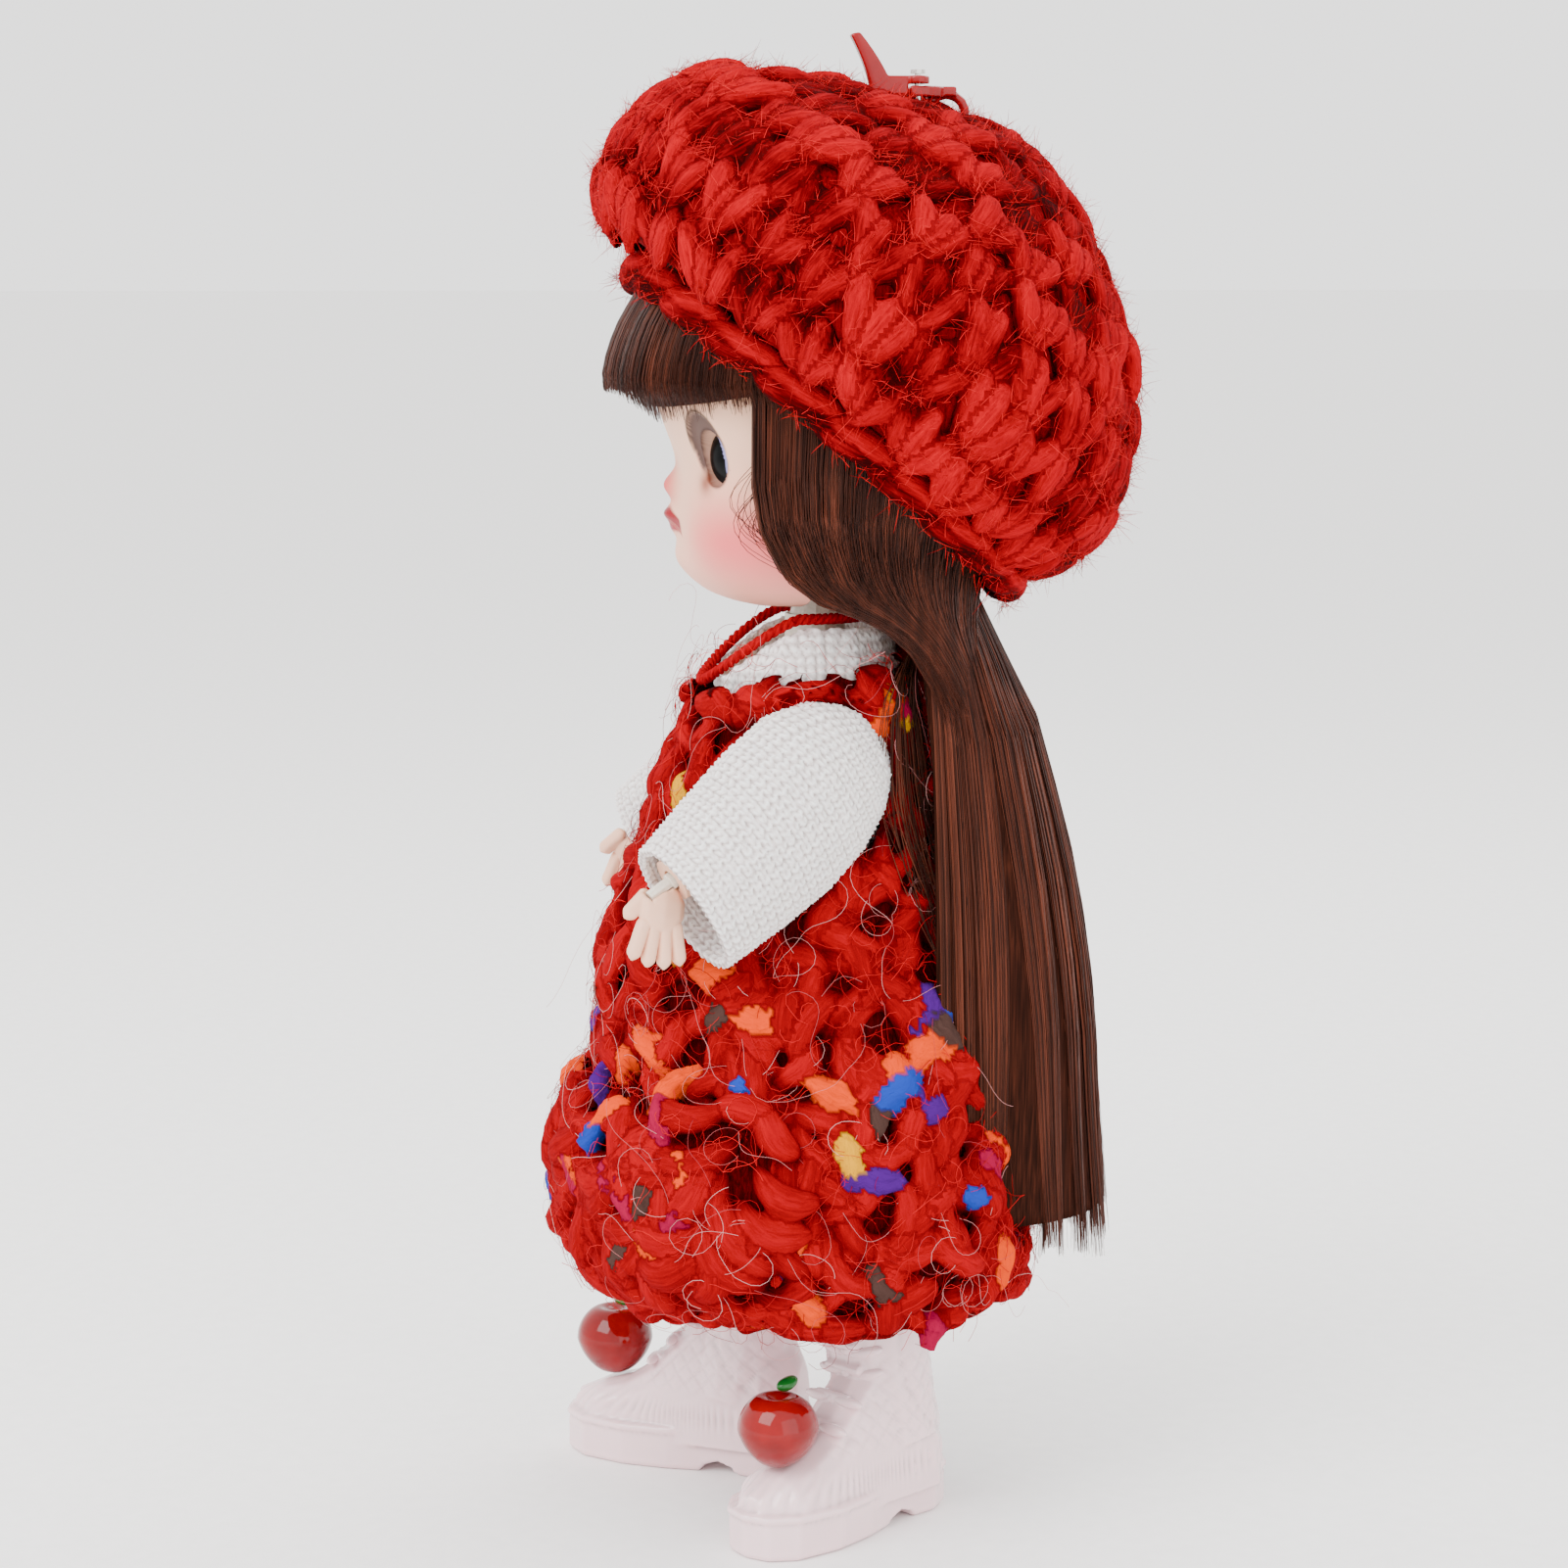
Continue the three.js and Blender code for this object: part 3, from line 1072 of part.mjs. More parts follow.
function shoulderDisc(side) {
  const inner = SHOULDER_BARREL_INNER_X - SHOULDER_X;
  const barrelEnd = -ARM_RADIUS - SEAT_GAP - 0.1;
  const flangeX = inner + SHOULDER_FLANGE_THICKNESS / 2;
  const shape = joined(
    rod("x", SHOULDER_BARREL_RADIUS, barrelEnd - inner, (inner + barrelEnd) / 2, 0, 0, 12),
    rod("x", SHOULDER_FLANGE_RADIUS, SHOULDER_FLANGE_THICKNESS, flangeX, 0, 0, 12),
    box(barrelEnd - 1, 0.6, -TONGUE_THICKNESS / 2, TONGUE_THICKNESS / 2, -1.5, 1.5),
    rod("y", TRUNNION_RADIUS, 2 * ARM_RADIUS - 1.4, 0, 0, 0, 8),
  );
  return side > 0 ? shape : mirrored(shape);
}

function upperArm() {
  const slot = TONGUE_THICKNESS + 2 * SEAT_GAP;
  const shaft = rod("z", ELBOW_RADIUS, UPPER_ARM_LENGTH, 0, 0, -UPPER_ARM_LENGTH / 2, 12, ARM_RADIUS);
  return cut(
    joined(
      shaft,
      ball(ARM_RADIUS, ARM_RADIUS, ARM_RADIUS, 0, 0, 0, 12, 5),
      rod("x", ELBOW_RADIUS, 2 * ELBOW_RADIUS - 0.4, 0, 0, -UPPER_ARM_LENGTH, 12),
    ),
    box(-6, 6, -slot / 2, slot / 2, -3.2, 6),
    rod("y", TRUNNION_RADIUS + SEAT_GAP, 12, 0, 0, 0, 8),
    fork(ARM_RADIUS, ELBOW_TONGUE + 2 * SEAT_GAP, -UPPER_ARM_LENGTH + 4.2, -UPPER_ARM_LENGTH - 5),
    rod("x", PIN_RADIUS + PIN_HOLE_CLEARANCE, 12, 0, 0, -UPPER_ARM_LENGTH, 8),
  );
}

function forearm() {
  const bodyTop = -ELBOW_RADIUS - 0.7;
  const length = FOREARM_LENGTH + bodyTop;
  return cut(
    joined(
      rod("z", WRIST_RADIUS, length, 0, 0, bodyTop - length / 2, 14, ELBOW_RADIUS - 0.1),
      rod("x", ELBOW_RADIUS - 0.3, ELBOW_TONGUE, 0, 0, 0, 12),
      box(-ELBOW_TONGUE / 2, ELBOW_TONGUE / 2, -2.2, 2.2, bodyTop - 0.5, 0),
    ),
    rod("x", PIN_RADIUS + PIN_HOLE_CLEARANCE, 12, 0, 0, 0, 10),
    rod("z", WRIST_BORE_RADIUS, 2 * WRIST_PEG_DEPTH, 0, 0, -FOREARM_LENGTH, 12),
  );
}

const crossPin = (length) => rod("x", PIN_RADIUS, length, 0, 0, 0, 10);

function wristPeg() {
  return joined(
    rod("z", WRIST_BORE_RADIUS - SEAT_GAP, WRIST_PEG_DEPTH - 0.5, 0, 0, WRIST_PEG_DEPTH / 2 - 0.35, 10),
    rod("z", WRIST_STEM_RADIUS, 3.2, 0, 0, -1.4, 8),
  );
}

// Hand: palm, four tapered fingers and a thumb, fingers down
function hand(side) {
  const palmHalf = PALM_LENGTH / 2;
  const palm = ball(PALM_THICKNESS / 2, PALM_WIDTH / 2, palmHalf + 0.4, 0, 0, -palmHalf - 0.2, 8, 5);
  const finger = (radius, length) => {
    const geometry = new THREE.CapsuleGeometry(radius, length, 1, 5).rotateX(Math.PI / 2);
    return geometry.translate(0, 0, -length / 2);
  };
  const fingers = [-1.5, -0.5, 0.5, 1.5].map((place) => {
    const geometry = finger(FINGER_RADIUS, FINGER_LENGTH - 0.5 * Math.abs(place));
    return solid(geometry.rotateX(rad(9 * place)).translate(0, place * 1.22, -PALM_LENGTH + 0.4));
  });
  const thumb = solid(finger(FINGER_RADIUS + 0.1, 3).rotateX(rad(-38)).translate(-0.5, -1.6, -1));
  const shape = joined(palm, ...fingers, thumb);
  return side > 0 ? shape : mirrored(shape);
}

// The sleeve opens at the seam by the shoulder and at the cuff
function sleeve(side, frame) {
  const insideSeam = carried(box(-SLEEVE_SEAM_X, SLEEVE_SEAM_X, -60, 60, 60, 120), doll, frame);
  return cut(sleeveForm(0, side), sleeveForm(-SLEEVE_THICKNESS, side, SLEEVE_THICKNESS + 0.1), insideSeam);
}

armFrames.forEach((frame, i) => {
  const side = i === 0 ? 1 : -1;
  const name = i === 0 ? "left" : "right";
  piece(`shoulder_disc_${name}`, shoulderDisc(side), plasticCore, frame.parent);
  piece(`upper_arm_${name}`, upperArm(), skin, frame);
  piece(`sleeve_${name}`, sleeve(side, frame), whiteKnit, frame);
  const elbow = pivot("elbow", frame, [0, 0, -UPPER_ARM_LENGTH]);
  piece(`elbow_pin_${name}`, crossPin(6.2), steel, elbow);
  piece(`forearm_${name}`, forearm(), skin, elbow);
  const wrist = pivot("wrist", elbow, [0, 0, -FOREARM_LENGTH - SEAT_GAP]);
  piece(`wrist_peg_${name}`, wristPeg(), plasticCore, wrist);
  const handFrame = pivot("hand", wrist, [0, 0, -WRIST_STANDOFF], [HAND_BEND, 0, 0]);
  const pegHole = carried(rod("z", WRIST_STEM_RADIUS + SEAT_GAP, 6.8, 0, 0, 0, 8), wrist, handFrame);
  piece(`hand_${name}`, cut(hand(side), pegHole), skin, handFrame);
});

// Legs
function hipDisc() {
  const tongueHalf = HIP_TONGUE_WIDTH / 2;
  return joined(
    rod("x", HIP_BARREL_RADIUS, 2 * HIP_BARREL_HALF_LENGTH, 0, 0, 0, 14),
    box(-tongueHalf, tongueHalf, -TONGUE_THICKNESS / 2, TONGUE_THICKNESS / 2, -HIP_TRUNNION_DROP, 0),
    rod("y", TRUNNION_RADIUS, 7, 0, 0, -HIP_TRUNNION_DROP, 10),
  );
}

function thigh() {
  const domeCentre = THIGH_RADIUS - (HIP_TRUNNION_DROP - THIGH_TOP_DROP);
  const bottom = HIP_TRUNNION_DROP - THIGH_LENGTH;
  const slot = TONGUE_THICKNESS + 2 * SEAT_GAP;
  return cut(
    joined(
      ball(THIGH_RADIUS, THIGH_RADIUS, THIGH_RADIUS, 0, 0, -domeCentre, 12, 5),
      rod("z", KNEE_RADIUS, -bottom - domeCentre, 0, 0, (bottom - domeCentre) / 2, 12, THIGH_RADIUS),
      rod("x", KNEE_RADIUS, 2 * KNEE_RADIUS - 1, 0, 0, bottom, 12),
    ),
    box(-8, 8, -slot / 2, slot / 2, -2.6, 8),
    rod("y", TRUNNION_RADIUS + SEAT_GAP, 14, 0, 0, 0, 8),
    fork(KNEE_RADIUS, KNEE_TONGUE + 2 * SEAT_GAP, bottom + 4.2, bottom - 6),
    rod("x", PIN_RADIUS + PIN_HOLE_CLEARANCE, 14, 0, 0, bottom, 8),
  );
}

function shin() {
  const length = SHIN_LENGTH - KNEE_SHOULDER_DROP;
  const middle = -KNEE_SHOULDER_DROP - length / 2;
  return cut(
    joined(
      rod("z", ANKLE_RADIUS, length, 0, 0, middle, 16, SHIN_RADIUS),
      rod("x", 3.7, KNEE_TONGUE, 0, 0, 0, 14),
      box(-KNEE_TONGUE / 2, KNEE_TONGUE / 2, -2.6, 2.6, -KNEE_SHOULDER_DROP - 0.5, 0),
    ),
    rod("x", PIN_RADIUS + PIN_HOLE_CLEARANCE, 14, 0, 0, 0, 10),
    rod("z", ANKLE_PEG_RADIUS + SEAT_GAP, 2 * (ANKLE_PEG_LENGTH + 0.4), 0, 0, -SHIN_LENGTH, 12),
  );
}

// Foot: an oval last, with the peg that turns in the shin
const footTable = [
  [INSOLE_HEIGHT + SEAT_GAP, 2.9, -11, 4.2],
  [INSOLE_HEIGHT + 1.6, 3.3, -11.4, 4.6],
  [INSOLE_HEIGHT + 3.4, 3.2, -8.6, 4.4],
  [INSOLE_HEIGHT + 5.4, 3.0, -5, 4],
  [INSOLE_HEIGHT + 8.2, 2.9, -3.4, 3.2],
];
const footHeights = footTable.map(([height]) => height);
const footForm = (grow, around) => form(footTable, { grow, levels: footHeights, around });

// Sole outline, toe towards -Y: heel round, waist, ball and round toe
function soleOutline(proud) {
  const half = SOLE_HALF_WIDTH + proud;
  const outline = new THREE.Shape();
  outline.moveTo(0, BOOT_HEEL + proud);
  outline.bezierCurveTo(-half * 0.75, BOOT_HEEL + proud, -half * 0.82, BOOT_HEEL - 4, -half * 0.7, 0);
  outline.bezierCurveTo(-half * 0.62, -5, -half * 1.02, -7, -half, -14);
  outline.bezierCurveTo(-half * 0.98, -BOOT_TOE + 2, -half * 0.5, -BOOT_TOE - proud, 0, -BOOT_TOE - proud);
  outline.bezierCurveTo(half * 0.5, -BOOT_TOE - proud, half * 0.98, -BOOT_TOE + 2, half, -14);
  outline.bezierCurveTo(half * 1.02, -7, half * 0.62, -5, half * 0.7, 0);
  outline.bezierCurveTo(half * 0.82, BOOT_HEEL - 4, half * 0.75, BOOT_HEEL + proud, 0, BOOT_HEEL + proud);
  return outline;
}

// Upper: stations from the heel to the toe, each with half width, bottom and top height
const upperTable = [
  [-BOOT_HEEL + 0.4, 2.6, 14],
  [-6, 4.9, 19],
  [-2, 5.6, 22],
  [2, 5.7, 22],
  [6, 5.6, 18.6],
  [10, 5.6, 13.8],
  [14, 5.8, 10.6],
  [18, 5.7, 9.2],
  [21, 4.6, 8.4],
  [BOOT_TOE - 0.9, 2.2, 7],
];
// How far forward the top of the vamp lies at a height
function stationAt(height) {
  const stations = heights(2, BOOT_TOE - 1, 60);
  return stations.find((reach) => between(upperTable, reach)[1] < height) ?? BOOT_TOE - 1;
}

function upperForm() {
  const stations = heights(-BOOT_HEEL + 0.4, BOOT_TOE - 0.9, 9);
  const base = SOLE_THICKNESS - 1.2;
  return loft(
    stations.map((reach) => {
      const [halfWidth, top] = between(upperTable, reach);
      const halfHeight = top - base;
      return Array.from({ length: 10 }, (_, j) => {
        const angle = (Math.PI * j) / 9;
        return new THREE.Vector3(halfWidth * roundedPower(Math.cos(angle), 0.85), -reach, base + halfHeight * Math.sin(angle));
      });
    }),
  );
}

function boot(shinFrame, bootFrame) {
  const soleShape = new THREE.ExtrudeGeometry(soleOutline(-0.5), {
    depth: SOLE_THICKNESS - 1,
    bevelEnabled: true,
    bevelThickness: 0.5,
    bevelSize: 0.5,
    bevelSegments: 1,
    curveSegments: 3,
  });
  const sole = solid(soleShape.translate(0, 0, 0.5));
  const welt = plate(soleOutline(WELT_PROUD), SOLE_THICKNESS, WELT_THICKNESS, 3);
  const inShin = (shape) => carried(shape, shinFrame, bootFrame);
  const shaftLength = SHAFT_TOP - 9;
  const topDrop = THIGH_LENGTH + SHAFT_TOP - HIP_HEIGHT - 0.4;
  const shaft = inShin(
    joined(
      rod("z", SHAFT_RADIUS - 0.4, shaftLength, 0, 0, topDrop - shaftLength / 2, 14, SHAFT_RADIUS + 0.3),
      rod("z", SHAFT_RADIUS + 0.8, 1.6, 0, 0, topDrop - 1.6, 14),
    ),
  );
  const boreBottom = -SHIN_LENGTH - 4;
  const legBore = inShin(rod("z", ANKLE_RADIUS + 0.7, 60, 0, 0, boreBottom + 30, 12));
  const arch = rod("x", 3.2, 20, 0, -1.8, -1.7, 10);

  // Laces: the lower ones cross the vamp, the others the front of the leaning shaft
  doll.updateMatrixWorld(true);
  const toBoot = bootFrame.matrixWorld.clone().invert().multiply(shinFrame.matrixWorld);
  const knee = new THREE.Vector3().applyMatrix4(toBoot);
  const down = new THREE.Vector3(0, 0, -1).transformDirection(toBoot);
  const rungs = heights(0, 1, LACE_RUNGS).map((share) => {
    const height = THREE.MathUtils.lerp(LACE_BOTTOM, LACE_TOP, share);
    const axis = knee.clone().addScaledVector(down, (height - knee.z) / down.z);
    const vampReach = stationAt(height);
    const shaftReach = SHAFT_RADIUS - axis.y - 0.1;
    const x = shaftReach > vampReach ? axis.x : axis.x * share;
    return rod("x", LACE_RADIUS, 2 * LACE_HALF_LENGTH, x, -Math.max(vampReach, shaftReach), height, 6);
  });
  const upper = joined(sole, welt, upperForm(), shaft, ...rungs);
  return cut(upper, arch, legBore, footForm(SEAT_GAP + 0.2, 12));
}

function apple() {
  const geometry = new THREE.SphereGeometry(APPLE_RADIUS, 10, 7).rotateX(Math.PI / 2);
  const position = geometry.getAttribute("position");
  for (let i = 0; i < position.count; i += 1) {
    const point = new THREE.Vector3().fromBufferAttribute(position, i);
    const height = point.z / APPLE_RADIUS;
    const angle = Math.atan2(point.y, point.x);
    const low = Math.max(-height, 0);
    const waist = 1 - 0.16 * low - 0.07 * low * (0.5 + 0.5 * Math.cos(5 * angle));
    const dimple = 1.3 * bump(Math.hypot(point.x, point.y), 1.1) * Math.max(height, 0);
    position.setXYZ(i, point.x * waist, point.y * waist, point.z * 0.97 - dimple);
  }
  return cut(solid(geometry), box(-6, 6, -6, 6, -6, -APPLE_RADIUS * 0.9));
}

function leaf() {
  const blade = ball(0.9, LEAF_LENGTH / 2, 0.6, 0, LEAF_LENGTH / 2 - 0.2, 0.4, 7, 4);
  return joined(blade, rod("z", 0.4, 1.2, 0, 0, 0, 6));
}

[1, -1].forEach((side) => {
  const name = side > 0 ? "left" : "right";
  const stride = side > 0 ? STRIDE_LEFT : STRIDE_RIGHT;
  const toeOut = side > 0 ? TOE_OUT_LEFT : TOE_OUT_RIGHT;
  const swing = pivot(`hip_swing_${name}`, doll, [side * HIP_X, HIP_Y, HIP_HEIGHT], [stride, 0, 0]);
  piece(`hip_disc_${name}`, hipDisc(), plasticCore, swing);
  const spread = pivot(`hip_spread_${name}`, swing, [0, 0, -HIP_TRUNNION_DROP], [0, -side * LEG_OUTWARD, 0]);
  piece(`thigh_${name}`, thigh(), skin, spread);
  const knee = pivot(`knee_${name}`, spread, [0, 0, HIP_TRUNNION_DROP - THIGH_LENGTH]);
  piece(`knee_pin_${name}`, crossPin(8.4), steel, knee);
  piece(`shin_${name}`, shin(), skin, knee);
  const ankle = pivot(`ankle_${name}`, knee, [0, 0, -SHIN_LENGTH]);
  doll.updateMatrixWorld(true);
  const spot = ankle.getWorldPosition(new THREE.Vector3());
  const bootFrame = pivot(`boot_${name}`, doll, [spot.x, spot.y, 0], [0, 0, side * toeOut]);
  const peg = carried(
    rod("z", ANKLE_PEG_RADIUS, ANKLE_PEG_LENGTH + 3, 0, 0, ANKLE_PEG_LENGTH / 2 - 1.5, 12),
    ankle,
    bootFrame,
  );
  piece(`foot_${name}`, joined(footForm(0, 12), peg), skin, bootFrame);
  piece(`boot_${name}`, boot(knee, bootFrame), bootVinyl, bootFrame);
  const appleFrame = pivot(`apple_frame_${name}`, bootFrame, [0, -APPLE_REACH, APPLE_SEAT_HEIGHT + SEAT_GAP]);
  const appleLift = APPLE_RADIUS * 0.9;
  piece(`apple_${name}`, moved(apple(), 0, 0, appleLift), appleRed, appleFrame);
  const leafFrame = pivot(`leaf_frame_${name}`, appleFrame, [0, 0.4, appleLift + APPLE_RADIUS - 0.35]);
  piece(`apple_leaf_${name}`, leaf(), leafGreen, leafFrame);
});

// Frame shift: the origin is the centre of the box that holds the doll, on the floor
doll.updateMatrixWorld(true);
const reach = new THREE.Box3().setFromObject(doll, true);
const frameShift = reach.getCenter(new THREE.Vector3()).setZ(reach.min.z).negate();
doll.position.copy(frameShift);

export default doll;
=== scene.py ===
"""Looks of the jointed doll charm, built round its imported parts: crochet, mohair, hair, vinyl and enamel."""

import math
import random
from functools import cache

import bmesh
import bpy
from mathutils import Matrix, Vector, noise
from mathutils.bvhtree import BVHTree
from mathutils.interpolate import poly_3d_calc
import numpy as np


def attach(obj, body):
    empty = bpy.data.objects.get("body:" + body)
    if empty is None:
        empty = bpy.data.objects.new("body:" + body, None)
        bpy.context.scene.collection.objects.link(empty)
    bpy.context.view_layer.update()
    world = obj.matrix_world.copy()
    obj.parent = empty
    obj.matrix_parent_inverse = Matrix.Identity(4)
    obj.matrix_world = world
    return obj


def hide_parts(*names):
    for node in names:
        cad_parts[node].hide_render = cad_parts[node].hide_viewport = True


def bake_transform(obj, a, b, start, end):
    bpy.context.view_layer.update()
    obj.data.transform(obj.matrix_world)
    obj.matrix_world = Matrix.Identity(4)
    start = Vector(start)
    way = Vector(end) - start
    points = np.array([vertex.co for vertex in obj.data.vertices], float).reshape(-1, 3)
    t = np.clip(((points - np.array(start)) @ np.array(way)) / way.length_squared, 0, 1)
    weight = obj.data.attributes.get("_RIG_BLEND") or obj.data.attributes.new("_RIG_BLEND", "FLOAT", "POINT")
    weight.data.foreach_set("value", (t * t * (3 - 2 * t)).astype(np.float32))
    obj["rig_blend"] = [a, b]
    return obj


bl_info = {
    "name": "Jointed doll charm",
    "version": (1, 0, 0),
    "blender": (4, 5, 0),
    "location": "View3D > Sidebar > Doll charm",
    "description": "Crocheted clothes, hair, painted face and lace-up boots of the jointed doll charm",
    "category": "Object",
}

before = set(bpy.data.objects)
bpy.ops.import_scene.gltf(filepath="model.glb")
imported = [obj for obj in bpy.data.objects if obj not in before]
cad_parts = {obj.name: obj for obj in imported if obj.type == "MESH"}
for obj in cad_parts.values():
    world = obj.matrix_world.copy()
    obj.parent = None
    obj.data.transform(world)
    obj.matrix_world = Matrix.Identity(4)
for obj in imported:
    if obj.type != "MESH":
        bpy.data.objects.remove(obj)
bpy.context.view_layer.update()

MM = 0.001
SHIFT = Vector((-0.077, -1.234, 0.0))  # the doll's own frame to the row frame, in millimetres

# Forms of the doll in its own frame, in millimetres: height, half width, front and back
HEAD = (
    (106.2, 5.5, -9.5, 1.0), (106.8, 8.5, -12.0, 4.5), (108.0, 12.5, -14.8, 8.0), (110.0, 16.0, -16.8, 11.5),
    (113.0, 19.2, -17.6, 15.0), (118.0, 21.9, -17.9, 19.5), (123.0, 23.0, -18.2, 22.6), (128.0, 23.4, -19.8, 24.6),
    (134.0, 23.4, -20.6, 25.6), (140.0, 22.9, -19.8, 25.2), (146.0, 21.0, -17.4, 22.8), (150.5, 17.6, -14.0, 18.8),
    (154.0, 13.0, -9.5, 14.2), (156.6, 7.6, -4.0, 9.0), (157.8, 2.0, 1.0, 4.0),
)
BANGS = (
    (126.0, 25.6, -23.4, 27.0), (128.0, 26.4, -24.6, 28.0), (131.0, 27.0, -26.2, 28.0), (134.0, 27.0, -26.0, 28.0),
    (138.0, 26.2, -24.6, 28.0), (141.0, 25.2, -22.9, 28.0), (144.0, 24.4, -21.0, 27.0), (148.0, 22.8, -18.2, 26.0),
)
HAIR_FALL = (
    (29.5, 16.5, 8.0, 33.4), (32.0, 17.2, 6.0, 33.2), (45.0, 18.6, 4.0, 32.0), (60.0, 19.4, 3.0, 31.0),
    (75.0, 19.4, 2.0, 28.6), (88.0, 18.8, 1.0, 25.2), (96.0, 18.0, 0.0, 22.6), (103.0, 16.6, 0.0, 18.4),
    (107.0, 15.0, 0.0, 16.0),
)
DRESS = (
    (27.0, 25.4, -24.2, 21.6), (34.0, 26.2, -25.6, 22.4), (44.0, 25.4, -26.0, 22.0), (54.0, 23.4, -26.2, 20.6),
    (62.0, 21.2, -26.2, 19.0), (68.0, 19.2, -25.4, 17.4), (76.0, 16.6, -22.4, 15.2), (84.0, 15.2, -19.4, 13.0),
    (91.0, 15.0, -17.4, 11.6), (96.0, 14.6, -16.0, 10.4), (99.5, 13.4, -14.4, 9.4), (101.4, 11.4, -13.4, 8.2),
)
POCKET = (
    (27.6, 23.0, -26.2, 10.0), (30.0, 25.8, -29.2, 10.0), (35.0, 27.2, -31.0, 10.0), (41.0, 27.4, -31.4, 10.0),
    (47.0, 26.6, -30.8, 10.0), (50.5, 25.0, -29.2, 10.0), (52.5, 23.4, -27.4, 10.0),
)
# Hat crown in the hat's tilted frame: height over the brim, radius and centre
CROWN = (
    (4.4, 31.4, -2.4), (8.0, 34.2, -3.2), (13.0, 35.6, -3.4), (19.0, 34.8, -4.0), (25.0, 31.4, -4.4),
    (30.0, 25.9, -3.3), (34.2, 20.4, -3.0), (38.0, 13.6, -3.0), (40.5, 7.0, -3.0), (41.6, 1.4, -2.8),
)
HAT_ORIGIN = Vector((0.0, -2.85, 124.1))
HAT_TILT = math.radians(-40)
HAT_TURN = Matrix.Rotation(HAT_TILT, 3, "X")
BRIM_RADII = (28.9, 27.8)
EYE = Vector((12.6, -15.1, 124.6))
EYE_OUT = math.radians(27)
HEAD_SQUARENESS = 2.15
NECKLINE_Y = -5.4
TRIM_RADII = (8.5, 9.8)
SIDES = ((1, "left"), (-1, "right"))
NO_SLUB = (0, 0, 0, 0)


# Measures and placing


def srgb(code):
    """Linear colour of an sRGB hex code such as #c9101c."""
    parts = [int(code[i : i + 2], 16) / 255 for i in (1, 3, 5)]
    return tuple(c / 12.92 if c <= 0.04045 else ((c + 0.055) / 1.055) ** 2.4 for c in parts) + (1.0,)


def placed(point):
    """A point of the doll's own frame, in millimetres, as a place in the row frame."""
    return (Vector(point) + SHIFT) * MM


def bump(distance, width):
    return math.exp(-0.5 * (distance / width) ** 2)


def clamp(value):
    return max(0.0, min(1.0, value))


def between(table, height):
    """Values of a form at a height, on a smooth curve through its rows."""
    last = len(table) - 1
    at = min(max(height, table[0][0]), table[last][0])
    i = 0
    while i < last - 1 and at > table[i + 1][0]:
        i += 1
    low, high = table[i], table[i + 1]
    before, after = table[max(i - 1, 0)], table[min(i + 2, last)]
    span = high[0] - low[0]
    t = (at - low[0]) / span
    values = []
    for c in range(1, len(low)):
        rise_in = (high[c] - before[c]) / (high[0] - before[0])
        rise_out = (after[c] - low[c]) / (after[0] - low[0])
        value = (2 * t**3 - 3 * t**2 + 1) * low[c] + (3 * t**2 - 2 * t**3) * high[c]
        values.append(value + span * ((t**3 - 2 * t**2 + t) * rise_in + (t**3 - t**2) * rise_out))
    return values


def section(table, height, angle, grow=0.0, squareness=2.0):
    """A point on a form: at a height and an angle round it, grown outwards."""
    half, front, back = between(table, height)
    power = 2 / squareness
    across = math.copysign(abs(math.cos(angle)) ** power, math.cos(angle))
    along = math.copysign(abs(math.sin(angle)) ** power, math.sin(angle))
    return Vector(((half + grow) * across, (front + back) / 2 + ((back - front) / 2 + grow) * along, height))


def flank(half, front, back, y):
    """How far out a form of that half width stands, at a place between its front and its back."""
    ratio = min(abs(y - (front + back) / 2) / ((back - front) / 2), 0.999)
    return half * (1 - ratio**HEAD_SQUARENESS) ** (1 / HEAD_SQUARENESS)


def hat_point(x, y, z):
    """A point of the hat's tilted frame in the doll's frame."""
    return HAT_ORIGIN + HAT_TURN @ Vector((x, y, z))


# Meshes and pieces


def surface_of(node):
    """Search tree over the faces of a CAD node, to lay yarn on it."""
    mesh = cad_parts[node].data
    return BVHTree.FromPolygons([v.co.copy() for v in mesh.vertices], [list(p.vertices) for p in mesh.polygons])


def rounded(mesh, voxel, rounds):
    """A mesh melted into one skin of small even faces and smoothed, as a bmesh."""
    holder = bpy.data.objects.new("rounding", mesh)
    bpy.context.scene.collection.objects.link(holder)
    remesh = holder.modifiers.new("Remesh", "REMESH")
    remesh.mode = "VOXEL"
    remesh.voxel_size = voxel * MM
    smooth = holder.modifiers.new("Smooth", "SMOOTH")
    smooth.iterations = rounds
    made = bpy.data.meshes.new_from_object(holder.evaluated_get(bpy.context.evaluated_depsgraph_get()))
    bm = bmesh.new()
    bm.from_mesh(made)
    bpy.data.objects.remove(holder)
    bpy.data.meshes.remove(mesh)
    bpy.data.meshes.remove(made)
    bm.normal_update()
    return bm


def soft_copy(node, voxel, rounds, swell=0.0):
    """A CAD node's form with its facets rounded off, as a bmesh."""
    source = bmesh.new()
    source.from_mesh(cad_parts[node].data)
    bmesh.ops.remove_doubles(source, verts=source.verts, dist=1e-6)
    mesh = bpy.data.meshes.new("rounding")
    source.to_mesh(mesh)
    source.free()
    bm = rounded(mesh, voxel, rounds)
    if swell:
        for v in bm.verts:
            v.co += v.normal * swell * MM
    return bm


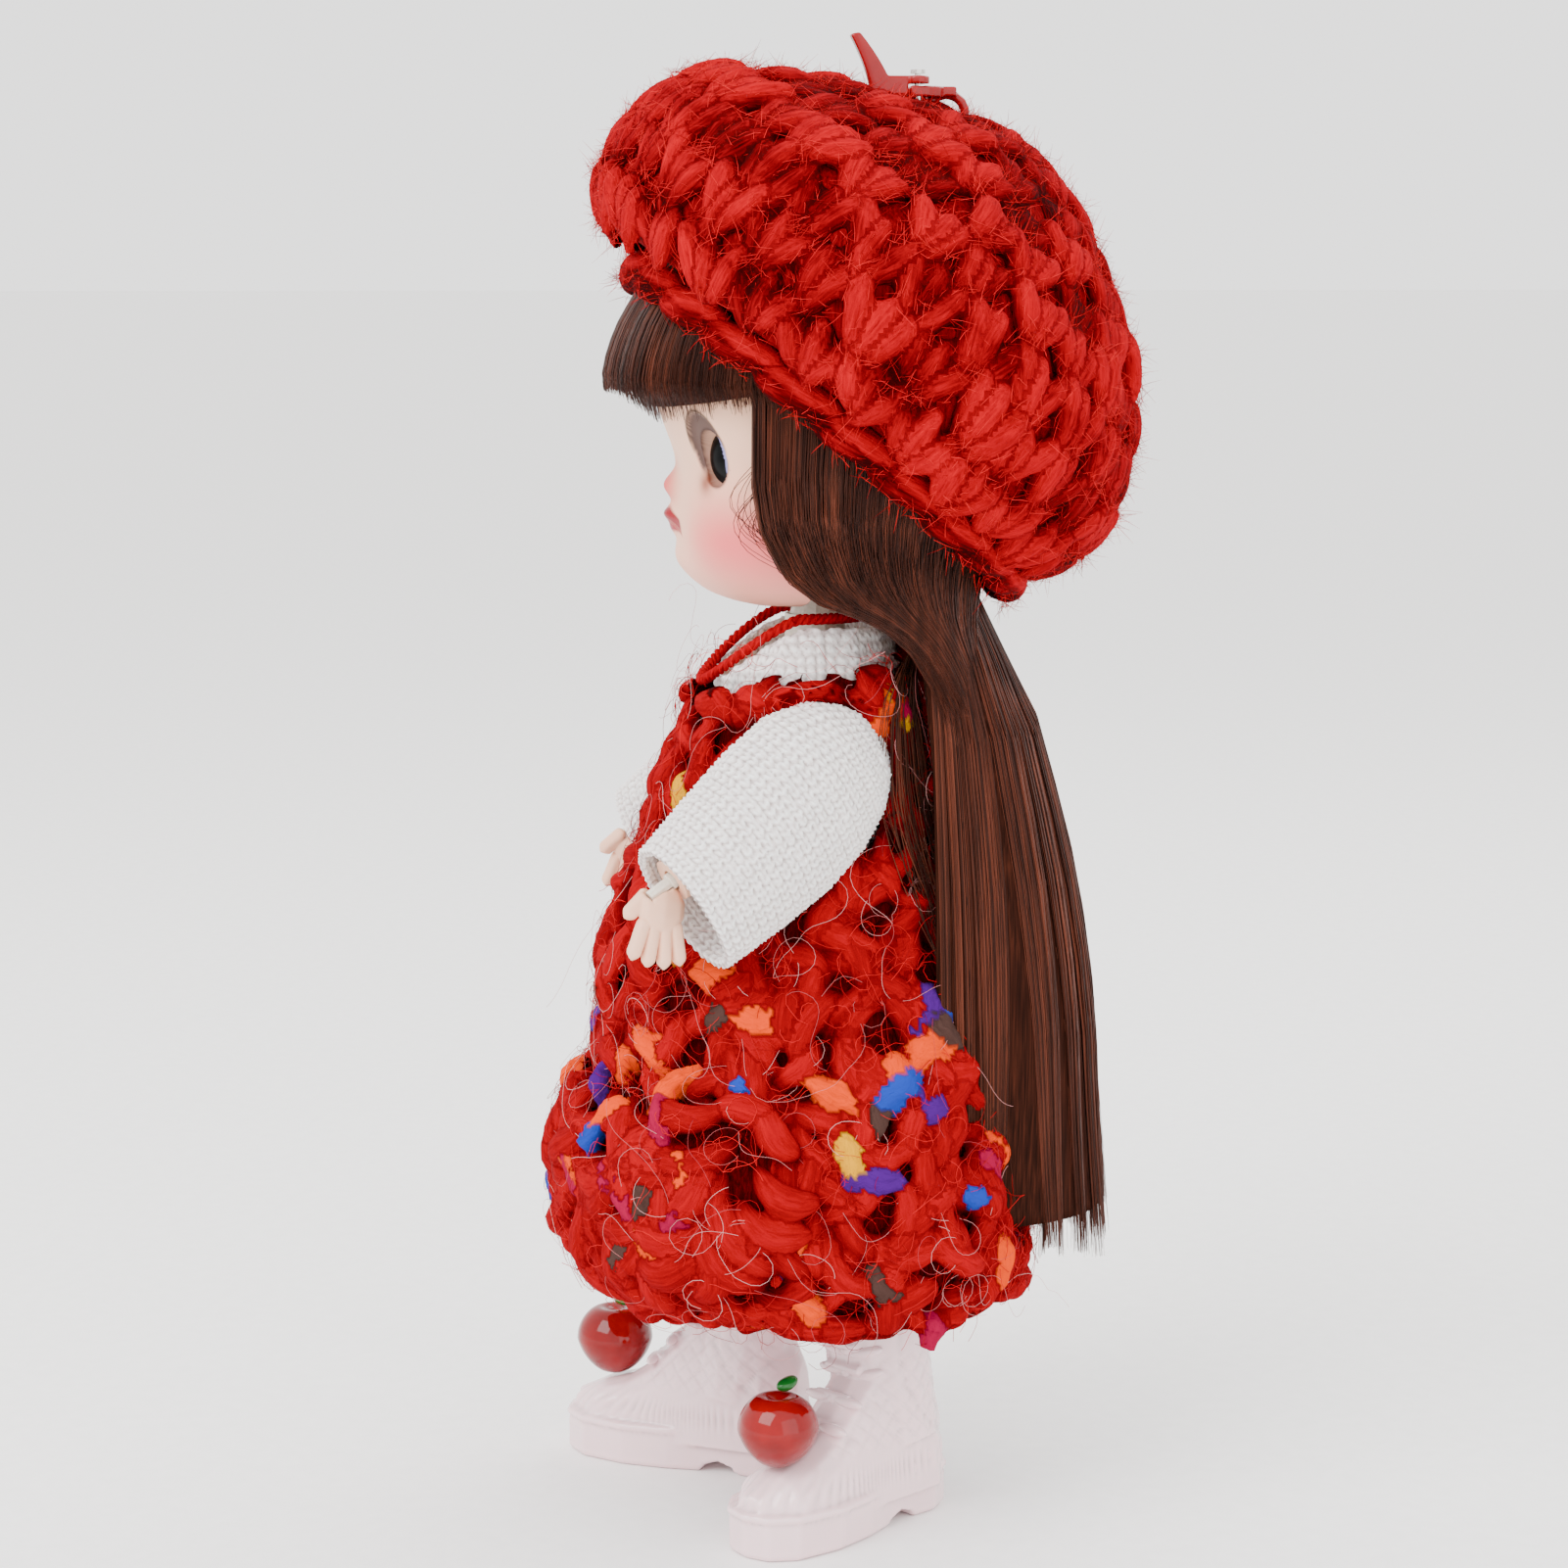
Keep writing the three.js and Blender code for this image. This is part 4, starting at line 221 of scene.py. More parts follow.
def sheet_of(across, up, shape, wrap=True):
    """A grid whose points are moved onto shape(u, v), each from 0 to 1, as a bmesh with its UV map."""
    bm = bmesh.new()
    bmesh.ops.create_grid(bm, x_segments=across, y_segments=up, size=0.5)
    uv = bm.loops.layers.uv.new("UVMap")
    for face in bm.faces:
        for loop in face.loops:
            loop[uv].uv = (loop.vert.co.x + 0.5, loop.vert.co.y + 0.5)
    for v in bm.verts:
        v.co = placed(shape(v.co.x + 0.5, v.co.y + 0.5))
    if wrap:
        bmesh.ops.remove_doubles(bm, verts=bm.verts, dist=1e-7)
    bmesh.ops.recalc_face_normals(bm, faces=bm.faces)
    return bm


def piece(name, bm, finish, body=None, replaced=()):
    """Turns a bmesh into a finished piece that rides on a body and stands for CAD nodes."""
    mesh = bpy.data.meshes.new(name)
    bm.to_mesh(mesh)
    bm.free()
    return piece_of_mesh(name, mesh, finish, body, replaced)


def piece_of_mesh(name, mesh, finish, body=None, replaced=()):
    mesh.name = name
    mesh.shade_smooth()
    mesh.materials.clear()
    mesh.materials.append(finish)
    obj = bpy.data.objects.new(name, mesh)
    bpy.context.scene.collection.objects.link(obj)
    if body:
        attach(obj, body)
    if replaced:
        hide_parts(*replaced)
    return obj


def rings_along(path, radius_at, sides):
    """Rings of points round a path, each with the share along it, the length run and the turn round it."""
    last = len(path) - 1
    normal, run = None, 0.0
    for i, point in enumerate(path):
        ahead = (path[min(i + 1, last)] - path[max(i - 1, 0)]).normalized()
        normal = (normal - ahead * normal.dot(ahead)).normalized() if normal else ahead.orthogonal().normalized()
        side = ahead.cross(normal)
        run += (point - path[i - 1]).length if i else 0.0
        radius = radius_at(i / last)
        turns = (2 * math.pi * k / sides for k in range(sides))
        yield [(point + (normal * math.cos(t) + side * math.sin(t)) * radius, t, run) for t in turns]


def strands(name, paths, thickness, taper=True, sides=3):
    """Fibres as thin round tubes along their paths, with a random tone for each."""

    def radius_at(share):
        return thickness / 2 * (1 - 0.75 * share**3 if taper else 1)

    corners, faces, tones = [], [], []
    chance = random.Random(len(paths))
    for path in paths:
        first, tone = len(corners), chance.random()
        for ring in rings_along(path, radius_at, sides):
            corners += [placed(point) for point, _, _ in ring]
        tones += [tone] * (len(corners) - first)
        for i in range(len(path) - 1):
            for k in range(sides):
                a, b = first + i * sides + k, first + i * sides + (k + 1) % sides
                faces.append((a, b, b + sides, a + sides))
    mesh = bpy.data.meshes.new(name)
    mesh.from_pydata(corners, [], faces)
    mesh.attributes.new("tone", "FLOAT", "POINT").data.foreach_set("value", tones)
    return mesh


def yarn_layers(bm):
    """Vertex data of yarn lobes: place along the yarn, tone, height over the ground and slub colour."""
    return (
        bm.verts.layers.float_vector.new("yarn"),
        bm.verts.layers.float.new("tone"),
        bm.verts.layers.float.new("height"),
        bm.verts.layers.float_color.new("slub"),
    )


@cache
def ball(around, up):
    """Points and faces of a ball of radius 1."""
    points = [Vector((0, 0, -1))]
    for ring in range(1, up):
        rise = math.pi * (ring / up - 0.5)
        for k in range(around):
            t = 2 * math.pi * k / around
            points.append(Vector((math.cos(t) * math.cos(rise), math.sin(t) * math.cos(rise), math.sin(rise))))
    points.append(Vector((0, 0, 1)))
    last = len(points) - 1
    faces = []
    for k in range(around):
        nxt = (k + 1) % around
        faces += [(0, 1 + nxt, 1 + k), (last, last - around + k, last - around + nxt)]
        for first in range(1, last - around, around):
            faces.append((first + k, first + nxt, first + around + nxt, first + around + k))
    return points, faces


def lobe(bm, layers, at, along, out, size, chance, tip=0.3, curl=0.0, slub=NO_SLUB, rings=(8, 7)):
    """One puffy loop of yarn: a ball drawn out along the yarn, narrowed to its tip and curled sideways."""
    side = out.cross(along).normalized()
    along = side.cross(out).normalized()
    length, width, height = size
    tone, seed = chance.random(), Vector((chance.random(), chance.random(), chance.random())) * 40
    points, faces = ball(*rings)
    made = []
    for b, c, a in points:
        v = bm.verts.new()
        made.append(v)
        narrow = 1 - tip * (a + 1) / 2
        v[layers[0]] = Vector((b * width / 2, c * height / 2, a * length / 2)) + seed
        v[layers[1]] = tone
        v[layers[2]] = (c + 1) / 2
        v[layers[3]] = slub
        sway = curl * (1 - a * a)
        middle = at + along * (a * length / 2) + side * (b * width / 2 * narrow + sway)
        v.co = placed(middle + out * (c * height / 2 * narrow))
    for face in faces:
        bm.faces.new([made[i] for i in face])
    return made


def roving(bm, layers, path, thickness, chance, sides=8):
    """A length of thick soft yarn that thins out to both ends."""

    def radius_at(share):
        return thickness / 2 * max(0.15, math.sin(math.pi * min(max(share, 0.02), 0.98)) ** 0.45)

    tone, seed = chance.random(), chance.random() * 60
    before = None
    for ring in rings_along(path, radius_at, sides):
        now = []
        for point, turn, run in ring:
            v = bm.verts.new(placed(point))
            v[layers[0]] = Vector((math.cos(turn) * thickness / 2 + seed, math.sin(turn) * thickness / 2, run))
            v[layers[1]] = tone
            v[layers[3]] = NO_SLUB
            now.append(v)
        if before:
            for k in range(sides):
                bm.faces.new((before[k], before[(k + 1) % sides], now[(k + 1) % sides], now[k]))
        else:
            bm.faces.new(now[::-1])
        before = now
    bm.faces.new(before)


def fused(bm, voxel, rounds, ground, relief, core):
    """Felts lobes and rovings into one soft skin that keeps their yarn data, without its hidden inside."""
    old = [bm.verts.layers.float_vector["yarn"], bm.verts.layers.float["tone"], bm.verts.layers.float_color["slub"]]
    mesh = bpy.data.meshes.new("felting")
    bm.to_mesh(mesh)
    tree = BVHTree.FromBMesh(bm)
    bm.faces.ensure_lookup_table()
    skin = rounded(mesh, voxel, rounds)
    layers = yarn_layers(skin)
    hidden = []
    for v in skin.verts:
        if v.normal.dot((v.co - core(v.co)).normalized()) < -0.3:
            hidden.append(v)
            continue
        found, _, index, _ = tree.find_nearest(v.co)
        corners = bm.faces[index].verts
        near = min(corners, key=lambda c: (c.co - found).length_squared)
        shares = poly_3d_calc([c.co for c in corners], found)
        v[layers[0]] = sum((c[old[0]] * share for c, share in zip(corners, shares)), Vector())
        v[layers[1]] = near[old[1]]
        v[layers[3]] = near[old[2]]
        # Height over the ground, which the yarn finishes paint as shade low down and as light on top
        base, out, _, _ = ground.find_nearest(v.co)
        v[layers[2]] = clamp((v.co - base).dot(out) / (relief * MM))
    bmesh.ops.delete(skin, geom=hidden, context="VERTS")
    bm.free()
    return skin


def plain_yarn(node, voxel, rounds, swell, tone, height):
    """A CAD node's form as even yarn without slubs, as a bmesh."""
    bm = soft_copy(node, voxel, rounds, swell)
    layers = yarn_layers(bm)
    for v in bm.verts:
        v[layers[0]], v[layers[1]], v[layers[2]], v[layers[3]] = v.co / MM, tone, height, NO_SLUB
    return bm


# Finishes


def add(tree, kind, inputs=None, stops=None, **settings):
    """Adds one shader node with its settings, values and links."""
    node = tree.nodes.new("ShaderNode" + kind)
    for key, value in settings.items():
        setattr(node, key, value)
    for key, value in (inputs or {}).items():
        if isinstance(value, bpy.types.NodeSocket):
            tree.links.new(value, node.inputs[key])
        else:
            node.inputs[key].default_value = value
    for i, (place, colour) in enumerate(stops or ()):
        element = node.color_ramp.elements[i] if i < 2 else node.color_ramp.elements.new(place)
        element.position = place
        element.color = colour
    return node


def start_finish(name, **sockets):
    material = bpy.data.materials.new(name)
    material.use_nodes = True
    surface = material.node_tree.nodes["Principled BSDF"]
    for key, value in sockets.items():
        surface.inputs[key.replace("_", " ")].default_value = value
    return material, material.node_tree, surface


def end_finish(tree, surface, colour, relief=None, strength=0.0, depth=0.0):
    """Gives a surface its colour, and a relief whose depth is in millimetres."""
    tree.links.new(colour, surface.inputs["Base Color"])
    if relief is not None:
        raised = add(tree, "Bump", {"Height": relief, "Strength": strength, "Distance": depth * MM})
        tree.links.new(raised.outputs[0], surface.inputs["Normal"])


def shades(colour, *steps):
    """Stops of a colour ramp: each is a place on it and how light the colour is there."""
    return [(place, shade(colour, factor)) for place, factor in steps]


def shade(colour, factor):
    return tuple(min(c * factor, 1.0) for c in colour[:3]) + (1.0,)


def settings():
    return bpy.context.scene.doll_charm


@cache
def brushed_wool():
    """Brushed wool yarn: short fibres lie along each loop; painted shade darkens the gaps and painted light
    brightens the loop tops.
    """
    material, tree, surface = start_finish("Brushed wool yarn", Roughness=0.95, Specular_IOR_Level=0.03)
    yarn = add(tree, "Attribute", attribute_name="yarn").outputs["Vector"]
    height = add(tree, "Attribute", attribute_name="height").outputs["Fac"]
    tone = add(tree, "Attribute", attribute_name="tone").outputs["Fac"]
    # Fibre bundles about 0.35 mm wide, drawn out 6 mm along the yarn
    lengthened = add(tree, "Mapping", {"Vector": yarn, "Scale": (2.8, 2.8, 0.28)}).outputs[0]
    detail = {"Vector": lengthened, "Scale": 1.0, "Detail": 4.0, "Roughness": 0.6}
    fibre = add(tree, "TexNoise", detail).outputs[0]
    # Painted shade and light: the lower a point lies over the ground, the darker it is painted; loop tops are
    # painted lightest.
    depth = add(tree, "MapRange", {"Value": height, "From Min": 0.0, "From Max": 0.75}).outputs[0]
    grain_and_shade = add(tree, "Math", {0: fibre, 1: 1.1, 2: -0.55}, operation="MULTIPLY_ADD").outputs[0]
    toned = add(tree, "Math", {0: tone, 1: 0.12, 2: grain_and_shade}, operation="MULTIPLY_ADD").outputs[0]
    total = add(tree, "Math", {0: depth, 1: 0.62, 2: toned}, operation="MULTIPLY_ADD").outputs[0]
    stops = shades(settings().hat_red, (0.0, 0.07), (0.3, 0.42), (0.62, 0.95), (1.0, 1.6))
    colour = add(tree, "ValToRGB", {"Fac": total}, stops=stops).outputs[0]
    end_finish(tree, surface, colour, fibre, 0.9, 0.35)
    return material


@cache
def boucle_mohair():
    """Boucle mohair yarn: thick red loops with coloured slubs spun in, painted with deep shadow between the loops
    and light on their tops.
    """
    material, tree, surface = start_finish("Boucle mohair yarn", Roughness=0.95, Specular_IOR_Level=0.03)
    yarn = add(tree, "Attribute", attribute_name="yarn").outputs["Vector"]
    height = add(tree, "Attribute", attribute_name="height").outputs["Fac"]
    tone = add(tree, "Attribute", attribute_name="tone").outputs["Fac"]
    slub = add(tree, "Attribute", attribute_name="slub").outputs
    # Fibre bundles about 0.4 mm wide, drawn out 2.5 mm along the yarn
    lengthened = add(tree, "Mapping", {"Vector": yarn, "Scale": (2.4, 2.4, 0.4)}).outputs[0]
    detail = {"Vector": lengthened, "Scale": 1.0, "Detail": 5.0, "Roughness": 0.65, "Distortion": 0.6}
    fibre = add(tree, "TexNoise", detail).outputs[0]
    # Painted shade and light: low between the loops the yarn is painted dark, on their tops light.
    depth = add(tree, "MapRange", {"Value": height, "From Min": 0.0, "From Max": 0.7}).outputs[0]
    toned = add(tree, "Math", {0: tone, 1: 0.25, 2: -0.55}, operation="MULTIPLY_ADD").outputs[0]
    rough = add(tree, "Math", {0: fibre, 1: 1.0, 2: toned}, operation="MULTIPLY_ADD").outputs[0]
    lifted = add(tree, "Math", {0: depth, 1: 0.7, 2: rough}, operation="MULTIPLY_ADD").outputs[0]
    stops = shades(settings().dress_red, (0.0, 0.08), (0.28, 0.45), (0.6, 1.0), (1.0, 1.9))
    colour = add(tree, "ValToRGB", {"Fac": lifted}, stops=stops).outputs[0]
    # A slub colours the crown of its loop and fades out along its fibres
    patch = add(tree, "Math", {0: fibre, 1: 0.7, 2: slub["Alpha"]}, operation="MULTIPLY_ADD").outputs[0]
    strong = add(tree, "MapRange", {"Value": patch, "From Min": 0.75, "From Max": 1.05}).outputs[0]
    # The slub colour is darkened and lightened by the same painted shade and light as its loop.
    stops = ((0.0, (0.2, 0.2, 0.2, 1)), (0.75, (1.25, 1.25, 1.25, 1)))
    grain_and_shade = add(tree, "ValToRGB", {"Fac": lifted}, stops=stops).outputs[0]
    tint = {0: 1.0, 6: slub["Color"], 7: grain_and_shade}
    tuft = add(tree, "Mix", tint, data_type="RGBA", blend_type="MULTIPLY").outputs[2]
    mixed = add(tree, "Mix", {0: strong, 6: colour, 7: tuft}, data_type="RGBA").outputs[2]
    end_finish(tree, surface, mixed, fibre, 0.8, 0.3)
    return material


@cache
def loose_fibre(name, low, high):
    """Loose wool or mohair fibres: thin enough for light to pass, each with its own tone."""
    material, tree, surface = start_finish(name, Roughness=0.8, Specular_IOR_Level=0.05)
    tone = add(tree, "Attribute", attribute_name="tone").outputs["Fac"]
    colour = add(tree, "ValToRGB", {"Fac": tone}, stops=((0.0, srgb(low)), (1.0, srgb(high)))).outputs[0]
    end_finish(tree, surface, colour)
    return material


@cache
def acrylic_hair():
    """Heat-drawn acrylic doll hair: smooth round strands with a narrow soft gloss, each with its tone."""
    gloss = {"Roughness": 0.38, "IOR": 1.49, "Specular_IOR_Level": 0.12, "Anisotropic": 0.4}
    material, tree, surface = start_finish("Drawn acrylic hair", **gloss)
    tone = add(tree, "Attribute", attribute_name="tone").outputs["Fac"]
    place = add(tree, "TexCoord").outputs["Object"]
    # Locks about 2 mm across share a tone that drifts slowly down the hair
    lengthened = add(tree, "Mapping", {"Vector": place, "Scale": (520.0, 520.0, 40.0)}).outputs[0]
    lock = add(tree, "TexNoise", {"Vector": lengthened, "Scale": 1.0, "Detail": 2.0}).outputs[0]
    total = add(tree, "Math", {0: tone, 1: 0.55, 2: -0.25}, operation="MULTIPLY_ADD").outputs[0]
    both = add(tree, "Math", {0: lock, 1: 0.85, 2: total}, operation="MULTIPLY_ADD").outputs[0]
    # Painted light: the fall below the nape is painted lighter than the hair under the hat.
    height = add(tree, "SeparateXYZ", {0: place}).outputs["Z"]
    reach = {"Value": height, "From Min": 0.108, "From Max": 0.085, "To Min": 0.0, "To Max": 0.14}
    fall = add(tree, "MapRange", reach).outputs[0]
    lit = add(tree, "Math", {0: both, 1: fall}, operation="ADD").outputs[0]
    stops = shades(settings().hair_brown, (0.1, 0.35), (0.4, 0.85), (0.6, 1.5), (0.9, 3.4))
    end_finish(tree, surface, add(tree, "ValToRGB", {"Fac": lit}, stops=stops).outputs[0])
    return material


@cache
def hair_ground():
    """Close-packed hair under the top strands: painted nearly black brown as the shade under them, streaked along
    the hair.
    """
    material, tree, surface = start_finish("Packed acrylic hair", Roughness=0.8, IOR=1.49, Specular_IOR_Level=0.04)
    place = add(tree, "TexCoord").outputs["Object"]
    # Streaks 0.25 mm wide run down the hair
    lengthened = add(tree, "Mapping", {"Vector": place, "Scale": (4000.0, 4000.0, 120.0)}).outputs[0]
    streak = add(tree, "TexNoise", {"Vector": lengthened, "Scale": 1.0, "Detail": 3.0}).outputs[0]
    stops = shades(settings().hair_brown, (0.3, 0.2), (0.5, 0.5), (0.75, 1.2))
    colour = add(tree, "ValToRGB", {"Fac": streak}, stops=stops).outputs[0]
    end_finish(tree, surface, colour, streak, 0.8, 0.12)
    return material


@cache
def cotton_knit():
    """Fine cotton stockinette: matt white yarn, shaded in the gaps between its small V stitches."""
    soft = {"Roughness": 0.9, "Sheen_Weight": 0.15, "Subsurface_Weight": 0.05}
    material, tree, surface = start_finish("Cotton stockinette", **soft)
    height = add(tree, "Attribute", attribute_name="height").outputs["Fac"]
    place = add(tree, "TexCoord").outputs["Object"]
    # Cotton fibres of about 0.15 mm show as a soft grain
    grain = add(tree, "TexNoise", {"Vector": place, "Scale": 5200.0, "Detail": 3.0}).outputs[0]
    total = add(tree, "Math", {0: grain, 1: 0.3, 2: height}, operation="MULTIPLY_ADD").outputs[0]
    stops = ((0.15, srgb("#7e6c68")), (0.5, srgb("#d8cdca")), (0.95, settings().shirt_white))
    colour = add(tree, "ValToRGB", {"Fac": total}, stops=stops).outputs[0]
    end_finish(tree, surface, colour, grain, 0.4, 0.1)
    return material


@cache
def vinyl_skin(painted=False):
    """Rotocast vinyl with a matt sprayed finish: light goes a little way in; lips and cheeks are painted."""
    name = "Painted soft vinyl" if painted else "Matt soft vinyl"
    matt = {"Roughness": 0.5, "IOR": 1.5, "Specular_IOR_Level": 0.12}
    material, tree, surface = start_finish(name, **matt, Subsurface_Weight=0.12, Subsurface_Scale=1.6 * MM)
    surface.inputs["Subsurface Radius"].default_value = (1.0, 0.45, 0.3)
    place = add(tree, "TexCoord").outputs["Object"]
    cloud = add(tree, "TexNoise", {"Vector": place, "Scale": 140.0, "Detail": 2.0}).outputs[0]
    stops = shades(settings().skin_peach, (0.3, 0.96), (0.7, 1.03))
    base = add(tree, "ValToRGB", {"Fac": cloud}, stops=stops).outputs[0]
    if painted:
        paint = add(tree, "Attribute", attribute_name="paint").outputs
        base = add(tree, "Mix", {0: paint["Alpha"], 6: base, 7: paint["Color"]}, data_type="RGBA").outputs[2]
        gloss = add(tree, "Attribute", attribute_name="gloss").outputs["Fac"]
        rough = add(tree, "MapRange", {"Value": gloss, "To Min": 0.5, "To Max": 0.25}).outputs[0]
        tree.links.new(rough, surface.inputs["Roughness"])
    # The sprayed matt coat has a grain of about 0.2 mm
    grain = add(tree, "TexNoise", {"Vector": place, "Scale": 4500.0, "Detail": 2.0}).outputs[0]
    end_finish(tree, surface, base, grain, 0.12, 0.02)
    return material


@cache
def eye_enamel():
    """Printed iris and white under a clear domed cap: a grey-black disc on a pale lilac white."""
    dome = {"Roughness": 0.35, "IOR": 1.4, "Specular_IOR_Level": 0.03}
    material, tree, surface = start_finish("Clear-coated eye", **dome, Coat_Weight=0.06, Coat_Roughness=0.05)
    paint = add(tree, "Attribute", attribute_name="paint").outputs["Color"]
    place = add(tree, "TexCoord").outputs["Object"]
    # Fine rays of the iris, about 0.2 mm apart
    ray = add(tree, "TexNoise", {"Vector": place, "Scale": 2600.0, "Detail": 1.0}).outputs[0]
    soft = add(tree, "MapRange", {"Value": ray, "To Min": 0.85, "To Max": 1.15}).outputs[0]
    mixed = add(tree, "Mix", {0: 1.0, 6: paint, 7: soft}, data_type="RGBA", blend_type="MULTIPLY").outputs[2]
    end_finish(tree, surface, mixed)
    return material


@cache
def moulded_vinyl():
    """Glossy moulded PVC of the boots: smooth, pinkish white, painted a touch darker and duller in its hollows as
    shade.
    """
    gloss = {"Roughness": 0.2, "IOR": 1.53, "Coat_Weight": 0.35, "Coat_Roughness": 0.12}
    material, tree, surface = start_finish(
        "Moulded glossy PVC", **gloss, Subsurface_Weight=0.12, Subsurface_Scale=1.5 * MM
    )
    surface.inputs["Subsurface Radius"].default_value = (1.0, 0.5, 0.45)
    hollow = add(tree, "NewGeometry").outputs["Pointiness"]
    place = add(tree, "TexCoord").outputs["Object"]
    cloud = add(tree, "TexNoise", {"Vector": place, "Scale": 220.0, "Detail": 3.0}).outputs[0]
    # Painted shade: the hollows of the mouldings, found by their curvature, are painted darker.
    edge = add(tree, "MapRange", {"Value": hollow, "From Min": 0.44, "From Max": 0.53}).outputs[0]
    both = add(tree, "Math", {0: cloud, 1: 0.25, 2: edge}, operation="MULTIPLY_ADD").outputs[0]
    stops = shades(settings().boot_pink, (0.1, 0.62), (0.6, 0.97), (0.917, 1.06))
    colour = add(tree, "ValToRGB", {"Fac": both}, stops=stops).outputs[0]
    end_finish(tree, surface, colour, cloud, 0.1, 0.15)
    return material


def clouded(name, low, high, scale, depth, strength, detail=2.0, **sockets):
    """A finish whose colour varies a little, and with it its surface unless the depth is 0."""
    material, tree, surface = start_finish(name, **sockets)
    place = add(tree, "TexCoord").outputs["Object"]
    cloud = add(tree, "TexNoise", {"Vector": place, "Scale": scale, "Detail": detail}).outputs[0]
    colour = add(tree, "ValToRGB", {"Fac": cloud}, stops=((0.3, srgb(low)), (0.7, srgb(high)))).outputs[0]
    end_finish(tree, surface, colour, cloud if depth else None, strength, depth)
    return material


@cache
def lacquer(name, low, high, rough=0.1):
    """Poured lacquer over resin or metal: even colour with faint clouding, a hard clear coat on top."""
    gloss = {"Roughness": rough, "IOR": 1.5, "Specular_IOR_Level": 0.15, "Coat_Weight": 0.3, "Coat_Roughness": 0.04}
    return clouded(name, low, high, 260.0, 0.2, 0.05, 3.0, **gloss)


@cache
def plated_steel():
    """Nickel-plated steel wire and screws: bright metal with fine drawing marks."""
    bright = {"Metallic": 1.0, "Roughness": 0.24}
    return clouded("Nickel-plated steel", "#b9b4ae", "#d8d4cf", 3000.0, 0.02, 0.15, **bright)


@cache
def abs_core():
    """Injection-moulded ABS joint discs and pegs: off-white, satin, with a faint mould grain."""
    return clouded("Moulded satin ABS", "#d9cfc0", "#e8e0d2", 2500.0, 0.03, 0.15, Roughness=0.45, IOR=1.53)


@cache
def studio_floor():
    """Matt white photographic board, its paper grain far too fine to stand out."""
    return clouded("White board", "#f4f3f2", "#f8f7f6", 400.0, 0.0, 0.0, Roughness=0.9)


# Sizes and colours that a user would change


def colour_choice(name, description, code):
    limits = {"subtype": "COLOR", "size": 4, "min": 0.0, "max": 1.0}
    return bpy.props.FloatVectorProperty(name=name, description=description, default=srgb(code), **limits)


def length_choice(name, description, size):
    limits = {"subtype": "DISTANCE", "unit": "LENGTH", "min": 0.0}
    return bpy.props.FloatProperty(name=name, description=description, default=size * MM, **limits)


class DollCharmSettings(bpy.types.PropertyGroup):
    hat_red: colour_choice("Hat red", "Brushed wool of the hat", "#92000e")
    dress_red: colour_choice("Dress red", "Mohair of the dress", "#760008")
    hair_brown: colour_choice("Hair brown", "Middle tone of the hair", "#38190f")
    skin_peach: colour_choice("Skin", "Vinyl of the face and hands", "#e9b89c")
    shirt_white: colour_choice("Shirt white", "Knit of the shirt and sleeves", "#f7f4f1")
    boot_pink: colour_choice("Boot white", "Moulded vinyl of the boots", "#e6c6ca")
    hair_thickness: length_choice("Hair thickness", "Thickness of one strand of hair", 0.15)
    fuzz_length: length_choice("Fuzz length", "Length of the loose fibres on the hat", 2.6)
    curl_radius: length_choice("Curl radius", "Radius of the largest mohair curls on the dress", 5.0)


# Face


def head_surface(angle, height):
    """Face of the head with its nose, lips, chin and cheeks raised."""
    p = section(HEAD, height, angle, squareness=HEAD_SQUARENESS)
    if p.y < 0:
        s, z = abs(p.x), p.z
        p.y -= 1.65 * bump(s, 1.8) * bump(z - 119.9, 1.2) + 1.6 * bump(s, 2.1) * bump(z - 116.6, 0.8)
        p.y -= 0.7 * bump(s, 1.8) * bump(z - 114.9, 0.6) + 0.7 * bump(s, 3) * bump(z - 111.6, 1.4)
        p.y -= 0.9 * bump(s - 12, 4) * bump(z - 114, 3.4) - 0.35 * bump(s, 2.2) * bump(z - 124, 3)
    return p


def eye_place(point):
    """Where a point of the face lies by the eye: backwards along the face, and up."""
    tangent = Vector((math.cos(EYE_OUT), math.sin(EYE_OUT), 0))
    offset = Vector((abs(point.x), point.y, point.z)) - EYE
    return offset.dot(tangent), offset.z


def eye_ring(point, centre, long, short, tilt):
    """Distance from the middle of an oval on the face, 1 on its outline."""
    a, b = eye_place(point)
    a, b = a - centre[0], b - centre[1]
    c, s = math.cos(tilt), math.sin(tilt)
    return math.hypot((a * c + b * s) / short, (b * c - a * s) / long)


EYE_OPENING = ((0.75, -1.05), 3.15, 2.35, math.radians(20))
EYE_HOLLOW = ((0.05, 0.0), 4.35, 3.0, math.radians(27))
EYEBALL_RADIUS = 5.4
PUPIL_EDGE = math.radians(39)  # the dark disc, measured from the middle of the eyeball
FACE_FRONT_Y = -10
FACE_WALL = 1.3
FACE_BOTTOM, BROW, FACE_TOP = 106.2, 131.0, 157.8


